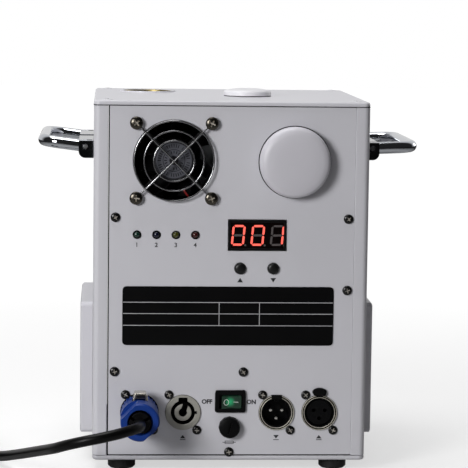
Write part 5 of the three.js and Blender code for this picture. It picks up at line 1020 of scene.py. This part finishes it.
# ---- Rating plate ----
# A black printed film with rounded corners, stuck on flat. Thin pale rules divide it into a
# heading, two rows of three cells and a foot; the cells are bare.
film_black = skin("Black printed film", paint(10, 10, 11), 0.34, clouding=0.12, grains=700, spread=0.14,
                  relief=0.05, specular=0.1)
film_white = skin("Pale printed rule", paint(196, 196, 200), 0.45, clouding=0.06)
film_y, rule_y = -0.0871, -0.08712
film = standing_sheet("rating_film", [square_hole(-0.0016, 0.1074, 0.1424, 0.0400, 0.0030)], film_y, 0.0005,
                      0.00012, film_black)
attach(film, "machine")
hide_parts("rating_plate")


def printed_rule(name, start, stop, width):
    """A thin printed line between two points of the film."""
    (x1, z1), (x2, z2) = start, stop
    length = hypot(x2 - x1, z2 - z1)
    nx, nz = -(z2 - z1) / length * width / 2, (x2 - x1) / length * width / 2
    corners = [(x1 - nx, z1 - nz), (x2 - nx, z2 - nz), (x2 + nx, z2 + nz), (x1 + nx, z1 + nz)]
    printed_shape(name, corners, film_white, rule_y)


rule_width, rule_heights = 0.00042, (0.1166, 0.1089, 0.1009)
for number, height in enumerate(rule_heights, 1):
    printed_rule(f"film_rule_{number}", (-0.0724, height), (0.0692, height), rule_width)
for number, x in enumerate((-0.0077, 0.0195), 1):
    printed_rule(f"film_divider_{number}", (x, rule_heights[0]), (x, rule_heights[-1]), rule_width)


# ---- Round connectors ----
# A grey locking power outlet and two nickel-plated data sockets, one with pins and one with
# holes and a black release tab, with the grey inlet that the blue plug is locked into.
socket_grey = skin("Grey socket plastic", paint(158, 156, 148), 0.38, clouding=0.15, grains=1200, relief=0.15)
shell_nickel = skin("Satin nickel shell", paint(222, 217, 204), 0.4, clouding=0.2, metallic=0.45, relief=0.12)
insert_black = skin("Black moulded plastic", paint(9, 9, 10), 0.42, clouding=0.15, grains=1200, relief=0.15,
                    specular=0.1)
pin_silver = skin("Silvered pin", paint(220, 218, 212), 0.18, metallic=1.0, relief=0.05)


def blackened(part, middle_x, reach, depth):
    """Gives a socket's faces within reach of its axis and deeper than depth the black finish, as painted
    shade in its recess.
    """
    part.data.materials.append(insert_black)
    index = len(part.data.materials) - 1
    for face in part.data.polygons:
        if face.center.y > depth and hypot(face.center.x - middle_x, face.center.z - connector_z) < reach:
            face.material_index = index


inlet = eased_copy("power_inlet", "inlet_moulding", socket_grey, 0.00025, 2)
blackened(inlet, power_in_x, 0.0106, panel_y - 0.0004)
outlet_low, outlet_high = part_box("power_outlet")
outlet_place = (power_out_x, panel_y, connector_z)
outlet_front, outlet_back = panel_y - outlet_low.y, panel_y - outlet_high.y
outlet_outline = turned_outline(
    [(0, outlet_front - 0.0112), (0.0081, outlet_front - 0.0112), (0.0081, outlet_front - 0.0004),
     (0.0085, outlet_front), (0.0119, outlet_front), (0.0119, 0.0001), (0.0116, 0.0001),
     (0.0116, outlet_back), (0, outlet_back)], 0.0003)
outlet = turned_piece("outlet_moulding", outlet_outline, outlet_place, outward, socket_grey, 80)
blackened(outlet, power_out_x, 0.0083, outlet_low.y + 0.002)
# The cut faces of the keyway, the side notch and the core's gap take the tools' black: painted shade in the
# slots.
keyway = block_piece("outlet_keyway", (-0.0031, outlet_low.y - 0.001, 0.0060),
                     (0.0031, outlet_low.y + 0.0110, 0.0103), insert_black, 0.0005, 2)
side_notch = block_piece("outlet_side_notch", (0.0060, outlet_low.y - 0.001, -0.0009),
                         (0.0095, outlet_low.y + 0.0110, 0.0011), insert_black, 0.0003, 2)
outlet_axis = Matrix.Translation((power_out_x, 0, connector_z))
for tool in (keyway, side_notch):
    tool.matrix_world = outlet_axis
carved(outlet, keyway, side_notch)
core_outline = softened([(0.0028, outlet_front - 0.0113), (0.0058, outlet_front - 0.0113),
                         (0.0058, outlet_front - 0.0006), (0.0028, outlet_front - 0.0006)], 0.0004)
core = turned_piece("outlet_core", core_outline, outlet_place, outward, socket_grey, 64)
core_gap = block_piece("outlet_core_gap", (0.0010, outlet_low.y - 0.001, -0.0019),
                       (0.0075, outlet_low.y + 0.0080, 0.0019), insert_black, 0.0003, 2)
core_gap.matrix_world = outlet_axis @ Matrix.Rotation(radians(-72), 4, "Y")
carved(core, core_gap)
blackened(core, power_out_x, 0.0075, outlet_low.y + 0.0030)
# A black ring lies on the panel round the inlet, behind the blue plug's collar.
dark_ring_outline = softened([(0.0116, -0.0001), (0.0131, -0.0001), (0.0131, 0.0016), (0.0116, 0.0016)], 0.0003)
collar_ring = turned_piece("inlet_black_ring", dark_ring_outline, (power_in_x, panel_y, connector_z), outward,
                           insert_black, 80)
for part, finish_slot in ((inlet, "grey_plastic"), (outlet, "grey_plastic"), (core, "grey_plastic"),
                          (collar_ring, "rubber")):
    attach(part, "machine")
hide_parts("power_inlet")
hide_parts("power_outlet")

# Both data sockets have a shell with two fine ridges round its rim, and black painted shade between them.
# The one for data in holds three prongs in a deep cup, the other three holes in a raised core.
shell_outline = [(0.0101, 0.0003)]
for ridge in (0.0102, 0.0115):
    shell_outline += [(ridge, 0.0003), (ridge + 0.00003, 0.0012), (ridge + 0.00022, 0.00135),
                      (ridge + 0.00042, 0.0012), (ridge + 0.00045, 0.0003)]
shell_outline += [(0.0120, 0.0002), (0.0118, 0.0001), (0.0118, -0.0250), (0.0101, -0.0250)]
insert_middles = {"data_in": [(0, -0.0108), (0.0090, -0.0108), (0.0092, 0.0002), (0.0094, 0.0005)],
                  "data_out": [(0, -0.0006), (0.0084, -0.0006), (0.0086, -0.0034), (0.0092, -0.0034),
                               (0.0093, 0.0002), (0.0095, 0.0005)]}
insert_rim = [(0.0102, 0.0005), (0.01035, 0.0001), (0.0100, -0.0002), (0.0100, -0.0240), (0, -0.0240)]
prong_outline = turned_outline([(0, -0.0015), (0.0012, -0.0015), (0.0012, -0.0112), (0, -0.0112)], 0.0008)
drill_outline = [(0, 0.002), (0.0013, 0.002), (0.0013, -0.011), (0, -0.011)]
# The black ring between the ridges is painted shade in the grooves.
groove_shade_outline = [(0.01015, 0.0002), (0.01015, 0.00075), (0.0121, 0.00075), (0.0121, 0.0002)]
pin_circle, pin_angles = 0.0041, (160, 20, 270)
for name, x in (("data_in", data_in_x), ("data_out", data_out_x)):
    place = (x, panel_y, connector_z)
    shell = turned_piece(f"{name}_shell", shell_outline, place, outward, shell_nickel, 80, 28)
    insert = turned_piece(f"{name}_insert", insert_middles[name] + insert_rim, place, outward, insert_black,
                          72, 32)
    spots = [(x + pin_circle * cos(radians(angle)), connector_z + pin_circle * sin(radians(angle)))
             for angle in pin_angles]
    if name == "data_in":
        for number, (px, pz) in enumerate(spots, 1):
            prong = turned_piece(f"data_in_prong_{number}", prong_outline, (px, panel_y, pz), outward,
                                 pin_silver, 24)
            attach(prong, "machine")
        key = block_piece("data_in_key", (x - 0.0014, panel_y + 0.0012, connector_z + 0.0076),
                          (x + 0.0014, panel_y + 0.0108, connector_z + 0.0093), insert_black, 0.0002, 2)
        bridge = block_piece("data_in_rim_bridge", (x - 0.0037, panel_y - 0.0015, connector_z + 0.0092),
                             (x + 0.0037, panel_y + 0.0010, connector_z + 0.0122), insert_black, 0.0005, 3)
        for part in (key, bridge):
            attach(part, "machine")
    else:
        drills = [turned_piece(f"data_out_drill_{k}", drill_outline, (px, panel_y, pz), outward,
                               insert_black, 24) for k, (px, pz) in enumerate(spots)]
        carved(insert, *drills)
    groove_shade_rings = turned_piece(f"{name}_groove_shade", groove_shade_outline, place, outward, insert_black, 72, 32)
    if name == "data_out":
        for part in (shell, groove_shade_rings):
            carved(part, standing_sheet("release_key_room", [tab_room], panel_y - 0.003, 0.012, 0.0001,
                                        insert_black))
    for part, finish_slot in ((shell, "nickel"), (insert, "black_plastic"), (groove_shade_rings, "black_plastic")):
        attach(part, "machine")
    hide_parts(f"{name}_socket")

# The release key is an oval drawn out a little toward its four corners.
key_outline = []
for k in range(48):
    turn = 2 * pi * k / 48
    bulge = sin(2 * turn) ** 2
    key_outline.append((tab_middle.x + 0.0046 * cos(turn) * (1 + 0.09 * bulge),
                        tab_middle.z + 0.0026 * sin(turn) * (1 + 0.16 * bulge)))
tab = standing_sheet("release_key", [key_outline], tab_low.y, tab_high.y - tab_low.y, 0.0005, insert_black)
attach(tab, "socket_release")
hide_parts("release_tab")

# A small printed triangle over a bar marks each socket: it points down at the bar for a way
# in, and up and away from it for a way out.
way_arrow_z, way_arrow_rise, bar_low, bar_high = 0.0247, 0.0012, 0.0224, 0.0229
for name, way, x in (("power_in", 1, power_in_x), ("power_out", -1, power_out_x), ("data_in", 1, data_in_x),
                     ("data_out", -1, data_out_x)):
    start, stop = x - arrow_half, x + arrow_half
    base, tip = way_arrow_z + way_arrow_rise * way, way_arrow_z - way_arrow_rise * way
    printed_shape(f"{name}_arrow", [(start, base), (stop, base), (x, tip)], print_dark)
    printed_shape(f"{name}_bar", [(start, bar_low), (stop, bar_low), (stop, bar_high), (start, bar_high)],
                  print_dark)


# ---- Rocker switch ----
# A black snap-in switch with a translucent green rocker, lit from inside, that tilts about
# its middle. It is marked with a ring and a bar, and the panel says OFF and ON beside it.
rocker_green = skin("Green rocker", paint(5, 32, 20), 0.16, clouding=0.9, grains=420, spread=0.1, relief=0.4,
                    coat=0.3, glow=paint(0, 0, 0), glow_strength=1.0)

# Lit core: the glow of the small lamp behind the rocker, brightest at its middle and nearly
# gone at its reach.
lit_core, core_in, core_out = node_group(
    "Lit core", [("Color", "NodeSocketColor", (0, 1, 0, 1)), ("Middle", "NodeSocketVector", (0, 0, 0)),
                 ("Reach", "NodeSocketFloat", 0.004)], [("Color", "NodeSocketColor")])
core_place = shader_node(lit_core, "TexCoord", {})
core_away = shader_node(lit_core, "VectorMath", {
    0: core_place.outputs["Object"], 1: core_in.outputs["Middle"]}, operation="DISTANCE")
core_fall = shader_node(lit_core, "MapRange", {
    "Value": core_away.outputs["Value"], "From Max": core_in.outputs["Reach"], "To Min": 1.0,
    "To Max": 0.03}, interpolation_type="SMOOTHSTEP")
core_tint = shader_node(lit_core, "VectorMath", {
    0: core_in.outputs["Color"], "Scale": core_fall.outputs["Result"]}, operation="SCALE")
lit_core.links.new(core_tint.outputs[0], core_out.inputs["Color"])
rocker_tree = rocker_green.node_tree
glow = shader_node(rocker_tree, "Group", {
    "Color": paint(30, 150, 96), "Middle": (0.0004, -0.0890, 0.0490), "Reach": 0.0042},
    node_tree=lit_core, name="Lit core")
rocker_tree.links.new(glow.outputs["Color"], rocker_tree.nodes["Principled BSDF"].inputs["Emission Color"])
mark_white = skin("White moulded mark", paint(226, 236, 228), 0.4, clouding=0.05)
case = eased_copy("switch_body", "switch_case", insert_black, 0.0004, 3)
# The frame's front stands a little higher at its top and ends a little sooner at its right.
for corner in case.data.vertices:
    if corner.co.y < panel_y + 0.0002:
        if corner.co.z > switch_z + 0.0067:
            corner.co.z += 0.0009
        if corner.co.x > switch_x + 0.0093:
            corner.co.x -= 0.0007
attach(case, "machine")
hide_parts("switch_body")
rocker_piece = eased_copy("rocker", "rocker_lens", rocker_green, 0.0004, 3, 12)
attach(rocker_piece, "switch_rocker")
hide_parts("rocker")
rocker_pivot = Vector((switch_x, -0.0868, switch_z))


def rocker_face(u, v, proud):
    """A point on the rocker's face, u along it and v up it, for the pressed pose that it rests in."""
    middle_depth, end_depth, half_length, tilt = 0.0013, 0.0030, 0.0069, radians(9)
    depth = middle_depth + (end_depth - middle_depth) * abs(u) / half_length + proud
    return rocker_pivot + Vector((u * cos(tilt) + depth * sin(tilt), u * sin(tilt) - depth * cos(tilt), v))


ring_line = [rocker_face(-0.0035 + 0.0017 * cos(2 * pi * k / 40), 0.0019 * sin(2 * pi * k / 40), 0.00008)
             for k in range(41)]
ring_mark = drawn_tube("rocker_ring_mark", ring_line, 0.00018, mark_white, 8)
bar_mark = drawn_tube("rocker_bar_mark", [rocker_face(0.0017 + 0.0005 * k, 0, 0.00012) for k in range(7)],
                      0.00022, mark_white, 8)
for part in (ring_mark, bar_mark):
    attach(part, "switch_rocker")
lettering("off_word", "OFF", -0.0152, 0.0487, 0.0029, 0.00017)
lettering("on_word", "ON", 0.0149, 0.0485, 0.0029, 0.00017)


# ---- Fuse holder ----
# A black moulded holder with a screwdriver slot across its cap, which comes out with the fuse.
# Below it a box with a line through it is printed, the plain sign for a fuse.
holder = eased_copy("fuse_holder", "fuse_holder_moulding", insert_black, 0.0003, 2)
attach(holder, "machine")
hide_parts("fuse_holder")
fuse_place = (fuse_x, panel_y, fuse_z)
fuse_outline = [(0, 0.0062), (0.0056, 0.0061), (0.0065, 0.0057), (0.0070, 0.0049), (0.00715, 0.0040),
                (0.00715, 0.0022), (0.0043, 0.0022), (0.0043, -0.0098), (0, -0.0098)]
fuse_top = turned_piece("fuse_cap_moulding", fuse_outline, fuse_place, outward, insert_black, 56, 40)
slot_tool = block_piece("fuse_slot_tool", (-0.00065, -0.0073, -0.0042), (0.00065, -0.0050, 0.0042),
                        insert_black, 0.0001, 1)
slot_tool.matrix_world = Matrix.Translation(fuse_place) @ Matrix.Rotation(radians(14), 4, "Y")
carved(fuse_top, slot_tool)
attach(fuse_top, "fuse_carrier")
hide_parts("fuse_cap")
for mark, low, high, finish, finish_slot, lift in (
        ("box", (-0.0028, 0.0198), (0.0032, 0.0219), print_dark, "black_plastic", 0.0),
        ("field", (-0.0024, 0.0202), (0.0028, 0.0215), powder_coat, "powder_coat", 0.00003),
        ("line", (-0.0043, 0.02065), (0.0047, 0.02105), print_dark, "black_plastic", 0.00004)):
    printed_shape(f"fuse_mark_{mark}", [low, (high[0], low[1]), high, (low[0], high[1])], finish,
                  panel_y - lift)


# ---- Hopper cap and spark nozzle ----
# A white moulded cap closes the granule hopper in the lid, and the brass mouth of the spark
# barrel, tinted by heat, stands in the lid beside it.
hopper_place = (0.0145, -0.0085, 0.252)
cap_bright = skin("Bright white cap", paint(230, 229, 233), 0.4, clouding=0.03, grains=1100, relief=0.12)
hopper_outline = [(0, 0.0054), (0.0070, 0.00532), (0.0110, 0.0050), (0.0143, 0.0044), (0.0160, 0.0038),
                  (0.0166, 0.0032), (0.0167, 0.0026), (0.0167, 0.0006), (0.0131, 0.0006), (0.0131, -0.0061),
                  (0.0125, -0.0067), (0, -0.0067)]
hopper_top = turned_piece("hopper_cap_moulding", hopper_outline, hopper_place, (0, 0, 1), cap_bright, 80, 40)
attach(hopper_top, "hopper_lid")
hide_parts("hopper_cap")
# A thin black ring under the cap's rim is painted shade: the shadow between cap and lid.
dark_ring_outline = [(0.0131, 0.0001), (0.0164, 0.0001), (0.0164, 0.0008), (0.0131, 0.0008)]
hopper_shade_ring = turned_piece("hopper_cap_shade_ring", dark_ring_outline, hopper_place, (0, 0, 1), gap_shade_black, 80)
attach(hopper_shade_ring, "hopper_lid")
barrel_low, barrel_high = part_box("spark_barrel")
brass = skin("Heat-tinted brass", paint(150, 136, 92), 0.42, clouding=0.5, grains=240, spread=0.2,
             metallic=1.0, relief=0.2)
mouth_x, mouth_y = -0.0545, 0.0475
mouth_outline = softened([(0.0162, barrel_low.z), (0.0177, barrel_low.z), (0.0177, barrel_high.z),
                          (0.0162, barrel_high.z)], 0.0003)
mouth = turned_piece("spark_barrel_tube", mouth_outline, (mouth_x, mouth_y, 0), (0, 0, 1), brass, 96)
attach(mouth, "machine")
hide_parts("spark_barrel")


# ---- Blue power plug ----
# A blue moulded locking plug in the inlet: a knurled collar at the panel, a long body with two
# wrench flats, a sprung nickel latch on top and a black chuck that grips the lead.
plug_blue = skin("Blue plug plastic", paint(16, 54, 132), 0.4, clouding=0.18, grains=1000, spread=0.12,
                 relief=0.2, specular=0.25)
plug_axis = Vector((power_in_x, 0, connector_z))
plug_outline = [(0.0, -0.0078), (0.0097, -0.0078), (0.0097, 0.0016), (0.0118, 0.0016), (0.0123, 0.0020),
                (0.0124, 0.0128), (0.0129, 0.0150), (0.0131, 0.0335), (0.0127, 0.0360), (0.0118, 0.0370),
                (0.0086, 0.0370), (0.0084, 0.0366), (0.0082, 0.0281), (0.0, 0.0281)]
plug_shell = turned_piece("blue_plug_body", plug_outline, (power_in_x, panel_y, connector_z), outward,
                          plug_blue, 96, 34)
flats = []
for angle in (135, 315):
    flat_tool = block_piece(f"plug_flat_{angle}", (0.0104, -0.1305, -0.02), (0.02, -0.1115, 0.02), plug_blue,
                            0.0001, 1)
    flat_tool.matrix_world = Matrix.Translation(plug_axis) @ Matrix.Rotation(radians(-angle), 4, "Y")
    flats.append(flat_tool)
bed = block_piece("plug_latch_bed", (-0.0053, -0.1109, 0.0095), (0.0053, -0.0952, 0.016), plug_blue,
                  0.0001, 1)
bed.matrix_world = Matrix.Translation(plug_axis)
carved(plug_shell, *flats, bed)

# Fine ribs run along the collar all round, but for the part under the latch.
ribs, rib_count, rib_reach = [], 30, 0.01238
for k in range(rib_count):
    angle = 2 * pi * k / rib_count
    if abs(angle - pi / 2) < 0.5:
        continue
    out = Vector((cos(angle), 0, sin(angle)))
    rib_line = [plug_axis + out * rib_reach + Vector((0, y, 0)) for y in (-0.0986, -0.0935, -0.0884)]
    ribs.append(drawn_tube(f"plug_collar_rib_{k}", rib_line, 0.00055, plug_blue, 8))
for part in (plug_shell, *ribs):
    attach(part, "machine")
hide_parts("power_plug")

# The latch is a bent nickel plate that slides along the plug's top, with a darker grip in front.
polished_nickel = skin("Polished nickel", paint(206, 200, 188), 0.24, clouding=0.3, grains=420, metallic=0.9,
                       relief=0.2)
latch_low, latch_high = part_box("plug_latch")
latch_middle, latch_top = (latch_low.x + latch_high.x) / 2 + 0.0003, latch_high.z + 0.0036
latch_foot = latch_low.z - latch_top
latch_bend = softened([(-0.0051, latch_foot), (-0.0049, -0.0032), (-0.0036, 0), (0.0036, 0),
                       (0.0049, -0.0032), (0.0051, latch_foot), (0.0037, latch_foot), (0.0033, -0.0037),
                       (-0.0033, -0.0037), (-0.0037, latch_foot)], 0.0006, 3)
latch = standing_sheet("plug_latch_slide", [[(latch_middle + p.x, latch_top + p.y) for p in latch_bend]],
                       latch_low.y, latch_high.y - latch_low.y, 0.0006, polished_nickel)
grip_loop = softened([(-0.0038, -0.0030), (-0.0029, -0.0009), (0.0029, -0.0009), (0.0038, -0.0030)],
                     0.0005, 3)
latch_grip = standing_sheet("plug_latch_grip", [[(latch_middle + p.x, latch_top + p.y) for p in grip_loop]],
                            latch_low.y - 0.0003, 0.0006, 0.0001, dark_nickel)
for part in (latch, latch_grip):
    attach(part, "latch")
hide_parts("plug_latch")
chuck = eased_copy("plug_chuck", "cable_chuck", insert_black, 0.0003, 2)
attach(chuck, "machine")
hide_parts("plug_chuck")


# ---- Inside ----
# What the housing holds, seen only through its openings: the heater round the barrel, the
# hopper with its feed screw and motor, the blower, the power supply and the control board.
heater_alloy = skin("Cast heater alloy", paint(150, 146, 140), 0.55, clouding=0.25, metallic=0.9, relief=0.5)
rolled_steel = skin("Rolled steel", paint(158, 160, 163), 0.36, clouding=0.2, metallic=1.0, relief=0.15)
blower_black = skin("Blower plastic", paint(28, 28, 30), 0.5, clouding=0.15, relief=0.3)
vane_grey = skin("Impeller plastic", paint(168, 168, 164), 0.5, clouding=0.15, relief=0.3)
board_green = skin("Solder mask", paint(24, 92, 52), 0.3, clouding=0.35, grains=420, relief=0.3)
for node, finish in (("heater_sleeve", heater_alloy), ("granule_hopper", rolled_steel),
                     ("feed_screw", rolled_steel), ("feed_motor", rolled_steel),
                     ("blower_housing", blower_black), ("blower_impeller", vane_grey),
                     ("power_supply", rolled_steel), ("control_board", board_green)):
    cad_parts[node].material_slots[0].material = finish
